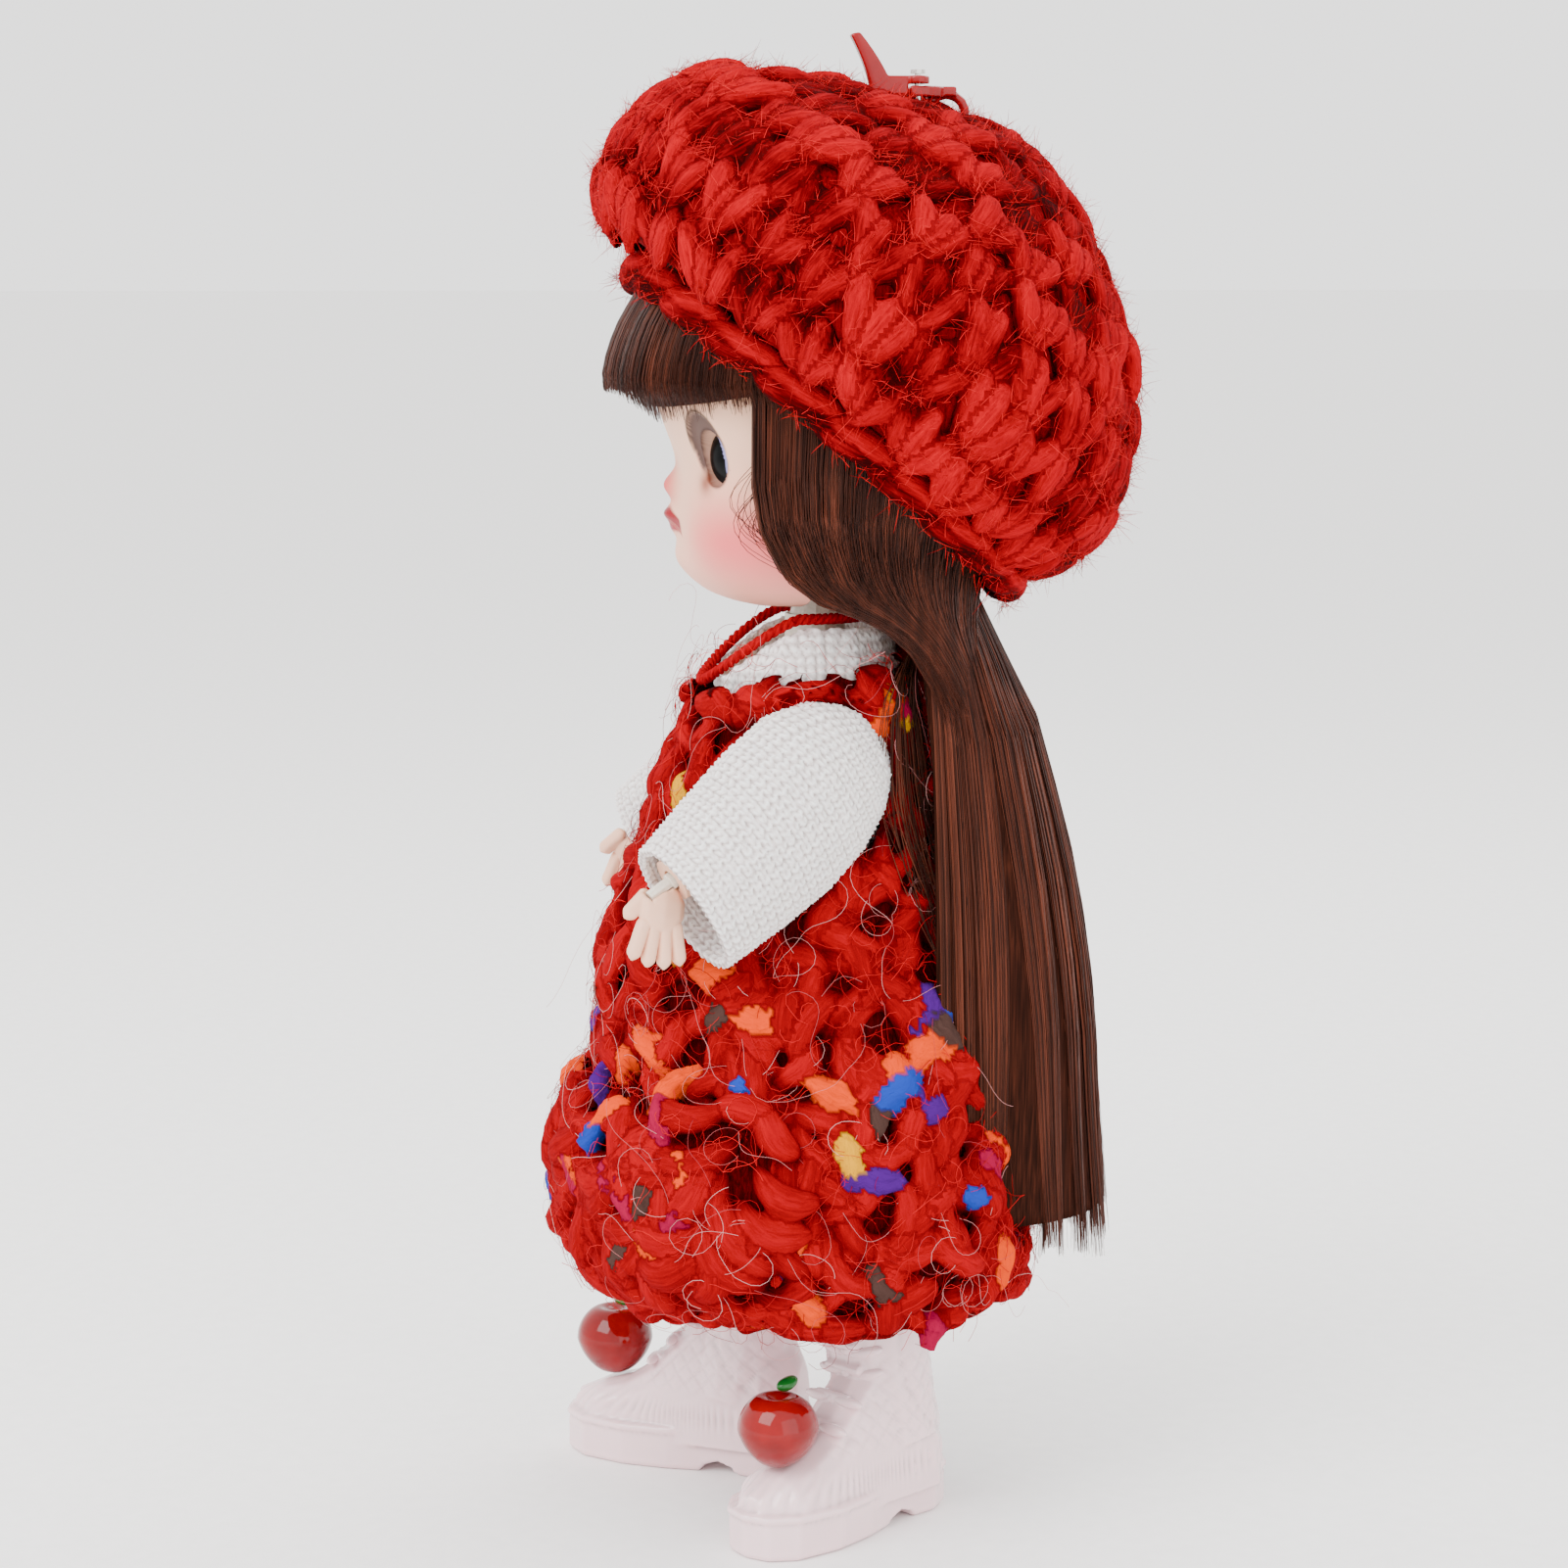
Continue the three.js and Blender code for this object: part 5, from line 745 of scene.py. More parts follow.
def paint_at(point):
    """Painted colour and its strength, and the gloss, at a point of the face."""
    s, z = abs(point.x), point.z
    colours = [
        (srgb("#dc3c50"), 0.85 * bump(s - 15.5, 5.6) * bump(z - 113.6, 4.2)),
        # Pinker and darker towards the bottom of the face
        (srgb("#e58f86"), 0.45 * clamp((116 - z) / 9)),
    ]
    gloss = 0.0
    if point.y < FACE_FRONT_Y:
        # Lips: a seam that droops to the corners, the upper lip with its bow, and the lower lip
        seam = 116.0 - 1.4 * min(s / 3.6, 1.4) ** 1.3
        top = 117.9 - 1.5 * min(s / 3.6, 1.4) ** 1.6 - 0.25 * bump(s, 0.6)
        upper = clamp(min((z - seam) / 0.3, (top - z) / 0.35)) * clamp((4.0 - s) / 0.4)
        lower = clamp(min((seam - z) / 0.25, (z - seam + 1.7 - 0.4 * s) / 0.4)) * clamp((3.2 - s) / 0.6)
        gloss = max(upper, lower)
        # Eye: shaded lid, brown line over it, dark rim and a warm shadow below
        hollow, opening = eye_ring(point, *EYE_HOLLOW), eye_ring(point, *EYE_OPENING)
        a, b = eye_place(point)
        lid = clamp(min((0.99 - hollow) / 0.05, (opening - 0.98) / 0.05)) * clamp((b + 2.4 - 0.6 * a) / 1.5)
        colours += [
            (srgb("#c82a3a"), 0.9 * bump(s, 2.0) * bump(z - 120.0, 1.5)),
            (srgb("#860012"), upper),
            (srgb("#960a20"), lower),
            (srgb("#8e1626"), 0.9 * bump(z - seam, 0.16) * clamp((4.3 - s) / 0.5)),
            (srgb("#2c2026"), 0.9 * lid),
            (srgb("#1c0a06"), 0.95 * bump(hollow - 1.02, 0.045) * clamp((b + 0.8) / 1.6)),
            (srgb("#3a2420"), 0.9 * bump(opening - 1.03, 0.05)),
        ]
        if opening > 1:
            colours.append((srgb("#6c2408"), 0.8 * bump(a + 0.9, 1.0) * bump(b + 3.9, 0.9)))
    mixed, strength = Vector(), 0.0
    for colour, share in colours:
        share = clamp(share)
        if share > 0.001:
            total = share + strength * (1 - share)
            mixed = (Vector(colour[:3]) * share + mixed * strength * (1 - share)) / total
            strength = total
    return (*mixed, strength), gloss


class DOLLCHARM_OT_face(bpy.types.Operator):
    """Make the painted vinyl face with its eye hollows"""

    bl_idname = "doll_charm.face"
    bl_label = "Face"

    def execute(self, context):
        def face_point(u, v):
            # Most rows lie below the brow, where the features are
            if v < 0.82:
                height = FACE_BOTTOM + (BROW - FACE_BOTTOM) * v / 0.82
            else:
                height = BROW + (FACE_TOP - BROW) * (v - 0.82) / 0.18
            return head_surface(-math.pi * u, height)

        bm = sheet_of(360, 170, face_point, wrap=False)
        paint = bm.verts.layers.float_color.new("paint")
        gloss = bm.verts.layers.float.new("gloss")
        for v in bm.verts:
            point = v.co / MM - SHIFT
            v[paint], v[gloss] = paint_at(point)
            if point.y < -8 and 117 < point.z < 132:
                hollow, opening = eye_ring(point, *EYE_HOLLOW), eye_ring(point, *EYE_OPENING)
                sink = 0.55 * clamp((1.0 - hollow) / 0.12) + 3.2 * clamp((1.0 - opening) / 0.14)
                side = math.copysign(1, point.x)
                v.co -= Vector((side * math.sin(EYE_OUT), -math.cos(EYE_OUT), 0)) * sink * MM
        # The rear edge turns inwards, as the wall of the shell does
        edges = [e for e in bm.edges if e.is_boundary]
        rim = bmesh.ops.extrude_edge_only(bm, edges=edges)["geom"]
        middle = placed((0, 2, 130))
        for v in (g for g in rim if isinstance(g, bmesh.types.BMVert)):
            v.co += (middle - v.co).normalized() * FACE_WALL * MM
        bmesh.ops.recalc_face_normals(bm, faces=bm.faces)
        piece("face_vinyl", bm, vinyl_skin(True), "head", ("face_plate",))
        return {"FINISHED"}


# Each lash: place of its root on the face from the eye's middle, length and lift
LASHES = (
    (2.6, 0.9, 1.5, 0.1), (2.95, 0.2, 1.3, 0.0), (3.15, -0.6, 0.9, -0.1),
    (3.1, -2.0, 0.8, -0.3), (2.2, 1.6, 1.2, 0.3), (1.5, 2.1, 1.0, 0.5),
)


class DOLLCHARM_OT_eyes(bpy.types.Operator):
    """Make the glossy eyes with their lashes"""

    bl_idname = "doll_charm.eyes"
    bl_label = "Eyes"

    def execute(self, context):
        for side, name in SIDES:
            out = Vector((side * math.sin(EYE_OUT), -math.cos(EYE_OUT), 0))
            tangent = Vector((side * math.cos(EYE_OUT), math.sin(EYE_OUT), 0))
            middle = Vector((side * EYE.x, EYE.y, EYE.z))
            centre = middle - Vector((0, 0, 1)) + tangent * 0.75 - out * (EYEBALL_RADIUS + 0.35)
            gaze = Vector((side * 0.05, -1, -0.2)).normalized()
            bm = bmesh.new()
            bmesh.ops.create_uvsphere(bm, u_segments=176, v_segments=112, radius=1)
            paint = bm.verts.layers.float_color.new("paint")
            for v in bm.verts:
                direction = v.co.normalized()
                turn = math.acos(max(-1.0, min(1.0, direction.dot(gaze))))
                if turn < PUPIL_EDGE - 0.03:
                    # Painted light: the lower part of the dark disc is painted lighter towards its rim.
                    light = 0.75 * clamp((-direction.z - 0.05) / 0.45) * (turn / PUPIL_EDGE) ** 2
                    v[paint] = Vector(srgb("#020203")).lerp(Vector(srgb("#222426")), light)
                else:
                    v[paint] = srgb("#040405") if turn < PUPIL_EDGE else srgb("#8e8ab8")
                v.co = placed(centre + direction * EYEBALL_RADIUS)
            piece(f"eye_domed_{name}", bm, eye_enamel(), "head", (f"eye_{name}",))
            paths = []
            for a, b, length, lift in LASHES:
                root = middle + tangent * a + Vector((0, 0, b)) + out * (-0.25 - 0.11 * a)
                path = []
                for t in (k / 5 for k in range(6)):
                    rise = length * (lift * t - 0.9 * t * (1 - t))
                    path.append(root + tangent * length * t * 0.8 + out * (0.5 * t) + Vector((0, 0, rise)))
                paths.append(path)
            mesh = strands(f"lashes_{name}", paths, 0.16)
            piece_of_mesh(f"lashes_{name}", mesh, loose_fibre("Nylon lash", "#2a1a16", "#4a2c22"), "head")
        return {"FINISHED"}


# Hair

FRINGE_HAIRS = 2600
SIDE_HAIRS = 2000
FALL_HAIRS = 2700
LOOSE_HAIRS = 110
FALL_TOP = 108.5
FALL_SIDE_Y = 8.0


def hair_piece(name, paths, body, thickness=None):
    """Strands of hair along their paths, as thick as the settings say unless it is given."""
    mesh = strands(name, paths, thickness or settings().hair_thickness / MM)
    return piece_of_mesh(name, mesh, acrylic_hair(), body)


FRINGE_START, FRINGE_SWEEP = -math.pi * 0.93, math.pi * 0.86
FRINGE_TOP = 148


def bangs_end(y, share):
    """Height at which the fringe is cut: its outer hair is shorter than its inner hair."""
    front = clamp((-12 - y) / 14)
    return (130.1 + 1.0 * front) * (1 - share) + (129.7 - 2.2 * front) * share


def fringe_ground(u, v):
    """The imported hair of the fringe: down its outer face, then back to the forehead under its cut ends."""
    angle = FRINGE_START + FRINGE_SWEEP * u

    def outer(height):
        return section(BANGS, height, angle, -0.35, HEAD_SQUARENESS)

    if v < 0.6:
        y = outer(FRINGE_TOP - 20.5 * v / 0.6).y
        return outer(FRINGE_TOP - (FRINGE_TOP - bangs_end(y, 0.0) - 1.3) * v / 0.6)
    share = (v - 0.6) / 0.4
    y = outer(130).y
    outer_end, inner_end = bangs_end(y, 0.0) + 1.3, bangs_end(y, 1.0) + 1.3
    height = outer_end + (inner_end - outer_end) * share
    p = outer(max(height, outer_end)).lerp(section(HEAD, inner_end, angle, 0.5, HEAD_SQUARENESS), share)
    p.z = height
    return p


class DOLLCHARM_OT_bangs(bpy.types.Operator):
    """Make the thick blunt fringe"""

    bl_idname = "doll_charm.bangs"
    bl_label = "Fringe"

    def execute(self, context):
        chance = random.Random(11)
        bm = sheet_of(160, 40, fringe_ground, wrap=False)
        piece("fringe_ground", bm, hair_ground(), "head", ("bangs",))
        paths = []
        for i in range(FRINGE_HAIRS):
            angle = FRINGE_START + FRINGE_SWEEP * (i + chance.random()) / FRINGE_HAIRS
            share = 0.0 if chance.random() < 0.55 else chance.random() ** 0.7
            grow = -0.15 + 0.28 * chance.random() if share == 0 else -0.2
            drift = chance.uniform(-0.02, 0.02)
            front_y = section(BANGS, 130, angle, 0, HEAD_SQUARENESS).y
            low = bangs_end(front_y, share) + chance.uniform(-0.7, 0.4)
            path = []
            for t in (k / 8 for k in range(9)):
                height, turn = 146 - (146 - low) * t, angle + drift * t
                outer = section(BANGS, max(height, 126.5), turn, grow, HEAD_SQUARENESS)
                p = outer.lerp(section(HEAD, height, turn, 0.5, HEAD_SQUARENESS), share)
                path.append(Vector((p.x, p.y, height)))
            paths.append(path)
        hair_piece("fringe_hair", paths, "head")
        return {"FINISHED"}


# Front and rear edge of the side hair as it is swept back: place along the head and height
SIDE_FRONT = (
    (-11.4, 134), (-11.4, 127), (-11.3, 120), (-10.2, 115), (-7.6, 110.5), (-3.6, 107.6),
    (0.8, 106.2), (4.8, 104.2), (8.0, 100.6), (10.6, 95.5), (12.0, 89),
)
SIDE_REAR = (
    (24.5, 134), (23, 128), (21, 122), (19, 117), (17, 112.5), (15.5, 108.5),
    (14.8, 105), (15.2, 102), (16.2, 98.5), (17.4, 94.5), (18.4, 90),
)
SIDE_STEPS = 10
GROUND_STEPS = 7.86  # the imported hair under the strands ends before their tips
STRAY_HAIRS = 16


def side_path(side, share, grow, chance):
    """A strand of side hair, from under the hat straight down and then swept back into the long hair."""
    path = []
    wander, sink = chance.uniform(-0.4, 0.4), chance.uniform(0, 1)
    last = len(SIDE_FRONT) - 1
    end = chance.uniform(0.82, 1.0)
    for k in range(SIDE_STEPS + 1):
        place = last * end * k / SIDE_STEPS
        i = min(int(place), last - 1)
        f = place - i
        ahead = [a + (b - a) * f for a, b in zip(SIDE_FRONT[i], SIDE_FRONT[i + 1])]
        behind = [a + (b - a) * f for a, b in zip(SIDE_REAR[i], SIDE_REAR[i + 1])]
        y = ahead[0] + (behind[0] - ahead[0]) * share + wander * k / SIDE_STEPS
        height = ahead[1] + (behind[1] - ahead[1]) * share
        half, front, rear = between(HEAD, max(height, 113.0))
        x = flank(half + 2.0 + grow, front - 2 - grow, rear + 2 + grow, y)
        low = clamp((113 - height) / 18)
        x += (17.6 + 0.5 * grow - 1.2 * sink * low - x) * low * (0.4 + 0.6 * low) * (1 - 0.75 * share)
        path.append(Vector((side * x, y, height)))
    return path


class DOLLCHARM_OT_side_hair(bpy.types.Operator):
    """Make the hair at the sides and the back of the head"""

    bl_idname = "doll_charm.side_hair"
    bl_label = "Side hair"

    def execute(self, context):
        chance = random.Random(23)
        for side, name in SIDES:

            def ground(u, v):
                path = side_path(1, u, 0.1, random.Random(2))
                step = v * GROUND_STEPS
                index = int(step)
                p = path[index].lerp(path[index + 1], step - index)
                return Vector((p.x * side, p.y, p.z))

            bm = sheet_of(70, 36, ground, wrap=False)
            if sum(f.normal.x * side for f in bm.faces) < 0:
                bmesh.ops.reverse_faces(bm, faces=bm.faces)
            piece(f"side_hair_ground_{name}", bm, hair_ground(), "head", (f"side_hair_{name}",))
            paths = []
            for i in range(SIDE_HAIRS):
                share = ((i + chance.random()) / SIDE_HAIRS) ** 1.15
                paths.append(side_path(side, share, 0.2 + 0.9 * chance.random(), chance))
            hair_piece(f"side_hair_strands_{name}", paths, "head")
            # A few stray hairs arch over the cheek to the nape
            paths = []
            for _ in range(STRAY_HAIRS):
                reach, low, high = chance.uniform(0.8, 5.2), chance.uniform(107.5, 111), chance.uniform(117, 124)
                path = []
                for t in (k / 13 for k in range(14)):
                    height = high + (low - high) * t
                    y = -10.6 + 12 * t * t - reach * math.sin(math.pi * min(t * 1.1, 1)) ** 1.2
                    x = flank(*between(HEAD, height), y) + 1.0 + 1.2 * math.sin(math.pi * t)
                    path.append(Vector((side * x, y, height)))
                paths.append(path)
            hair_piece(f"stray_hair_{name}", paths, "head", 0.09)
        return {"FINISHED"}


class DOLLCHARM_OT_hair_fall(bpy.types.Operator):
    """Make the long hair that falls down the back"""

    bl_idname = "doll_charm.hair_fall"
    bl_label = "Long hair"

    def execute(self, context):
        chance = random.Random(37)
        locks = [(chance.uniform(0, 1), chance.uniform(-0.5, 0.5)) for _ in range(30)]

        def front_y(height):
            """Front of the hair: it lies on the back of the dress."""
            below = between(DRESS, min(height, 99))[2]
            return below + 1.2 if height < 99 else below - (height - 99) * 0.5

        def hair_point(u, height, layer):
            # u runs from the left edge of the hair to its right edge, layer from its outer face to the dress
            half, _, back = between(HAIR_FALL, height)
            angle = math.pi * (0.02 + 0.96 * u)
            power = 2 / 2.2
            x = half * math.copysign(abs(math.cos(angle)) ** power, math.cos(angle)) * (1 - 0.1 * layer)
            outer = FALL_SIDE_Y + (back - FALL_SIDE_Y) * abs(math.sin(angle)) ** power
            inner = max(min(front_y(height), back - 2.0), FALL_SIDE_Y)
            return Vector((x, outer + (min(inner, outer) - outer) * layer, height))

        def ground(u, v):
            around, height = u * 2, 107.5 + (35.5 - 107.5) * v
            return hair_point(around, height, 0.1) if around <= 1 else hair_point(2 - around, height, 0.92)

        bm = sheet_of(120, 60, ground)
        holes = [e for e in bm.edges if e.is_boundary]
        bmesh.ops.holes_fill(bm, edges=holes, sides=0)
        bmesh.ops.recalc_face_normals(bm, faces=bm.faces)
        under = piece("long_hair_ground", bm, hair_ground(), None, ("hair_fall",))
        paths = []
        for _ in range(FALL_HAIRS):
            u = chance.random()
            layer = abs(chance.gauss(0, 0.12)) if chance.random() < 0.75 else 0.9 + 0.1 * chance.random()
            mine = min(locks, key=lambda lock: abs(lock[0] - u))
            end = 31.6 + 8 * chance.random() ** 2 + mine[1] * 6
            # Each lock is round: its middle strands stand out from the rest
            swell = 0.11 * (1 - min(abs(u - mine[0]) * 34, 1))
            path = []
            for t in (k / 9 for k in range(10)):
                height = FALL_TOP + (end - FALL_TOP) * t
                gather = 0.6 * t**1.3
                place = u + (mine[0] + mine[1] * 0.03 * math.sin(3 * t) - u) * gather
                p = hair_point(min(max(place, 0), 1), min(max(height, 29.6), 107), layer - swell * gather)
                p.z = height
                path.append(p)
            paths.append(path)
        # Loose hairs in front of the fall lie over the sides of the dress
        for i in range(LOOSE_HAIRS):
            side = 1 if i % 2 else -1
            ahead, bend, low = chance.uniform(0.5, 7.5), chance.uniform(-1.6, 1.6), chance.uniform(36, 62)
            path = []
            for t in (k / 15 for k in range(16)):
                height = 103 + (low - 103) * t
                half, front, rear = between(DRESS, min(height, 97))
                y = max(rear - 1.5, 8.0) - ahead * math.sin(math.pi * t**0.8) + bend * math.sin(5 * t)
                ratio = min(max((y - (front + rear) / 2) / ((rear - front) / 2), 0), 0.995)
                x = half * (1 - ratio**2.2) ** (1 / 2.2) + 2.2 + 0.8 * math.sin(7 * t + ahead)
                path.append(Vector((side * x, y, height)))
            paths.append(path)
        strand = hair_piece("long_hair_strands", paths, None)
        for obj in (under, strand):
            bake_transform(obj, "torso", "neck", start=(0, 0.02, 0.06), end=(0, 0.012, 0.105))
        return {"FINISHED"}


# Hat

STITCH_ROWS = 9
BRIM_SEGMENTS = 22
# Brushed fibres of the hat: piece, their number and how far they lift off the yarn
FUZZ = (("hat_fuzz_lying", 10500, 0.22), ("hat_fuzz_loose", 6000, 0.7))


def crown_profile(count):
    """Heights over the brim at equal steps along the crown, with radius and centre."""
    fine = []
    for i in range(241):
        height = 4.4 + 37.2 * math.sin(math.radians(90 * i / 240)) ** 1.15
        fine.append((height, *between(CROWN, height)))
    length = [0.0]
    for a, b in zip(fine, fine[1:]):
        length.append(length[-1] + math.hypot(b[0] - a[0], b[1] - a[1]))
    rows = []
    for k in range(count + 1):
        goal = length[-1] * k / count
        i = min(range(len(length)), key=lambda n: abs(length[n] - goal))
        rows.append(fine[i])
    return rows, length[-1]


def crown_point(row, turn):
    height, radius, centre = row
    return hat_point(radius * math.cos(turn), centre + radius * math.sin(turn), height)


class DOLLCHARM_OT_hat(bpy.types.Operator):
    """Crochet the hat: rows of leaning double loops over a rolled brim, brushed to a fuzz"""

    bl_idname = "doll_charm.hat"
    bl_label = "Hat"

    def execute(self, context):
        chance = random.Random(5)
        # The ground under the stitches is given a low height, so it is painted dark as the shade between them.
        bm = plain_yarn("beret_crown", 1.0, 4, -0.5, 0.3, 0.36)
        piece("hat_ground", bm, brushed_wool(), "head", ("beret_crown",))
        rows, length = crown_profile(2 * STITCH_ROWS)
        pitch = length / STITCH_ROWS
        bm = bmesh.new()
        layers = yarn_layers(bm)
        roots = []
        middle = hat_point(0, -3, 15)
        for r in range(STITCH_ROWS):
            row, low, high = rows[2 * r + 1], rows[2 * r], rows[2 * r + 2]
            count = max(4, round(2 * math.pi * row[1] / 7.4))
            for j in range(count):
                # Each stitch fans out upwards from one hole, in three uneven loops
                first = 2 * math.pi * (j + 0.5 * (r % 2) + chance.uniform(-0.12, 0.12)) / count
                puff = chance.uniform(-0.5, 0.5)
                for lean in (-1, 0, 1):
                    turn = first + lean * 2 * math.pi * chance.uniform(0.2, 0.34) / count
                    at = crown_point(row, turn)
                    up = (crown_point(high, turn) - crown_point(low, turn)).normalized()
                    round_ = (crown_point(row, turn + 0.02) - crown_point(row, turn - 0.02)).normalized()
                    out = round_.cross(up).normalized()
                    if out.dot(at - middle) < 0:
                        out.negate()
                    tilt = lean * chance.uniform(0.25, 0.5) + chance.uniform(-0.12, 0.12)
                    along = (up + round_ * tilt).normalized()
                    sunk = 0.9 if math.hypot(at.x, at.y - 8) < 9.5 and at.z > 150 else 0.0
                    grow = -0.55 + puff + chance.uniform(-0.3, 0.3) + 1.1 * noise.noise(at * 0.11) - sunk
                    size = (pitch * chance.uniform(1.15, 1.4), chance.uniform(3.4, 4.3), 4.2)
                    root = at + out * grow + up * chance.uniform(-0.7, 0.7)
                    curl = chance.uniform(-0.5, 0.5)
                    lobe(bm, layers, root, -along, out, size, chance, 0.3, curl, rings=(10, 9))
                    roots.append((at + out * (grow + 1.5), along, out, round_))
        crown = surface_of("beret_crown")
        centre = placed(middle)
        skin = fused(bm, 0.55, 3, crown, 2.0, lambda place: centre)
        piece("hat_stitches", skin, brushed_wool(), "head")
        # Rolled brim: a chain of long puffy segments
        bm = bmesh.new()
        layers = yarn_layers(bm)
        axis = HAT_TURN @ Vector((0, 0, 1))
        for j in range(BRIM_SEGMENTS):
            turn = 2 * math.pi * (j + chance.uniform(-0.08, 0.08)) / BRIM_SEGMENTS
            c, s = math.cos(turn), math.sin(turn)
            round_ = (HAT_TURN @ Vector((-BRIM_RADII[0] * s, BRIM_RADII[1] * c, 0))).normalized()
            out = (HAT_TURN @ Vector((c, s, -0.25))).normalized()
            at = hat_point(BRIM_RADII[0] * c, BRIM_RADII[1] * s, 2.4)
            along = (round_ + axis * 0.2).normalized()
            lobe(bm, layers, at + axis * 0.4, along, out, (11.6, 4.9, 4.8), chance, 0.2, rings=(12, 10))
            roots.append((at + out * 1.7, round_, out, axis))
            roots.append((at + out * 1.7 + round_ * 3, round_, out, axis))
        brim = surface_of("beret_brim")
        skin = fused(bm, 0.4, 3, brim, 0.8, lambda place: place - Vector((0, 0, 1)) if place.z > 1 else centre)
        piece("hat_brim", skin, brushed_wool(), "head", ("beret_brim",))
        fuzz = settings().fuzz_length / MM
        for name, count, lift in FUZZ:
            paths = []
            for _ in range(count):
                at, along, out, round_ = roots[chance.randrange(len(roots))]
                point = at + along * chance.uniform(-3.6, 3.6) + round_ * chance.uniform(-2, 2) - out * 0.5
                ahead = along * chance.uniform(-1, 1) + round_ * chance.uniform(-0.6, 0.6)
                direction = (ahead + out * chance.uniform(0.0, lift)).normalized()
                bend = Vector((chance.uniform(-1, 1), chance.uniform(-1, 1), chance.uniform(-1, 1))) * 0.6
                size = fuzz * chance.uniform(0.4, 1.15)
                paths.append([point + direction * size * t + bend * size * t * t * 0.5 for t in (0, 0.5, 1)])
            mesh = strands(name, paths, 0.07)
            piece_of_mesh(name, mesh, loose_fibre("Brushed wool fibre", "#780008", "#d81820"), "head")
        bm = plain_yarn("hang_loop", 0.16, 6, 0.0, 0.6, 0.75)
        piece("hat_loop", bm, brushed_wool(), "head", ("hang_loop",))
        return {"FINISHED"}


# Dress

SLUBS = (
    (srgb("#b88006"), 0.2), (srgb("#c03602"), 0.26), (srgb("#1c3288"), 0.18), (srgb("#3c1060"), 0.12),
    (srgb("#80062e"), 0.14), (srgb("#3a2824"), 0.1),
)


def slub_colour(chance):
    pick = chance.random()
    for colour, share in SLUBS:
        if pick < share:
            break
        pick -= share
    return (*colour[:3], 1.0)


def places_on(table, heights, width, surface, chance, near=1.6, sweep=(0, 2 * math.pi)):
    """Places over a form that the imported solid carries, each with its directions along, out and round."""
    found_places = []
    for r, height in enumerate(heights):
        half, front, back = between(table, height)
        count = round(math.pi * (half + (back - front) / 2) / width)
        for j in range(count):
            turn = 2 * math.pi * (j + 0.5 * (r % 2) + chance.uniform(-0.2, 0.2)) / count
            if not sweep[0] <= turn % (2 * math.pi) <= sweep[1]:
                continue
            at = section(table, height + chance.uniform(-0.8, 0.8), turn)
            found, normal, _, distance = surface.find_nearest(placed(at))
            if found is None or distance > near * MM:
                continue
            round_ = (section(table, height, turn + 0.02) - section(table, height, turn - 0.02)).normalized()
            up = (section(table, height + 1, turn) - section(table, height - 1, turn)).normalized()
            found_places.append((at, up, round_.cross(up).normalized(), round_))
    return found_places


def wandering(place, length, steps, chance, bend, heading=None):
    """A path that wanders over a surface from a place on it, its curve changing as it goes."""
    at, along, out, round_ = place
    heading = chance.uniform(0, 2 * math.pi) if heading is None else heading
    curve = chance.uniform(-bend, bend)
    step = length / (steps - 1)
    path = []
    for _ in range(steps):
        path.append(at.copy())
        heading += curve * step
        curve = max(-bend, min(bend, curve + chance.uniform(-0.5, 0.5) * bend))
        at = at + (along * math.sin(heading) + round_ * math.cos(heading)) * step
    return path


def crocheted(places, surface, chance, length, thickness, upright, slubs):
    """Thick rovings that wander over a surface and dip under one another, with coloured tufts spun in."""
    bm = bmesh.new()
    layers = yarn_layers(bm)
    for place in places:
        heading = -math.pi / 2 + chance.gauss(0, 0.45) if chance.random() < upright else None
        path = wandering(place, chance.uniform(*length), 9, chance, 0.22, heading)
        lift = chance.uniform(-0.5, 0.7)
        laid = []
        for k, point in enumerate(path):
            found, normal, _, _ = surface.find_nearest(placed(point))
            laid.append(found / MM - SHIFT + place[2] * (lift + 1.1 * math.sin(math.pi * k / 8) - 0.6))
        roving(bm, layers, laid, chance.uniform(*thickness), chance)
    for _ in range(slubs):
        at, along, out, round_ = places[chance.randrange(len(places))]
        if at.z > 96:
            continue
        turn = -math.pi / 2 + chance.gauss(0, 0.8)
        ahead = (along * math.sin(turn) + round_ * math.cos(turn)).normalized()
        size = (chance.uniform(3.6, 8.0), chance.uniform(2.8, 4.4), 3.6)
        place = at + out * chance.uniform(0.5, 1.0) + round_ * chance.uniform(-2, 2) + along * chance.uniform(-2, 2)
        curl, colour = chance.uniform(-0.8, 0.8), slub_colour(chance)
        for v in lobe(bm, layers, place, ahead, out, size, chance, 0.2, curl, colour, rings=(14, 10)):
            v.co += noise.noise_vector(v.co / MM * 0.8) * 0.9 * MM
    return bm


def curls(places, count, length, steps, bend, chance):
    """Loose mohair filaments that wander over the loops and arch off them."""
    paths = []
    for _ in range(count):
        place = places[chance.randrange(len(places))]
        path = wandering(place, chance.uniform(*length), steps, chance, bend)
        lift = chance.uniform(0.0, 1.3)
        rises = (1.3 + lift * math.sin(math.pi * k / (steps - 1)) for k in range(steps))
        paths.append([p + place[2] * rise for p, rise in zip(path, rises)])
    return paths


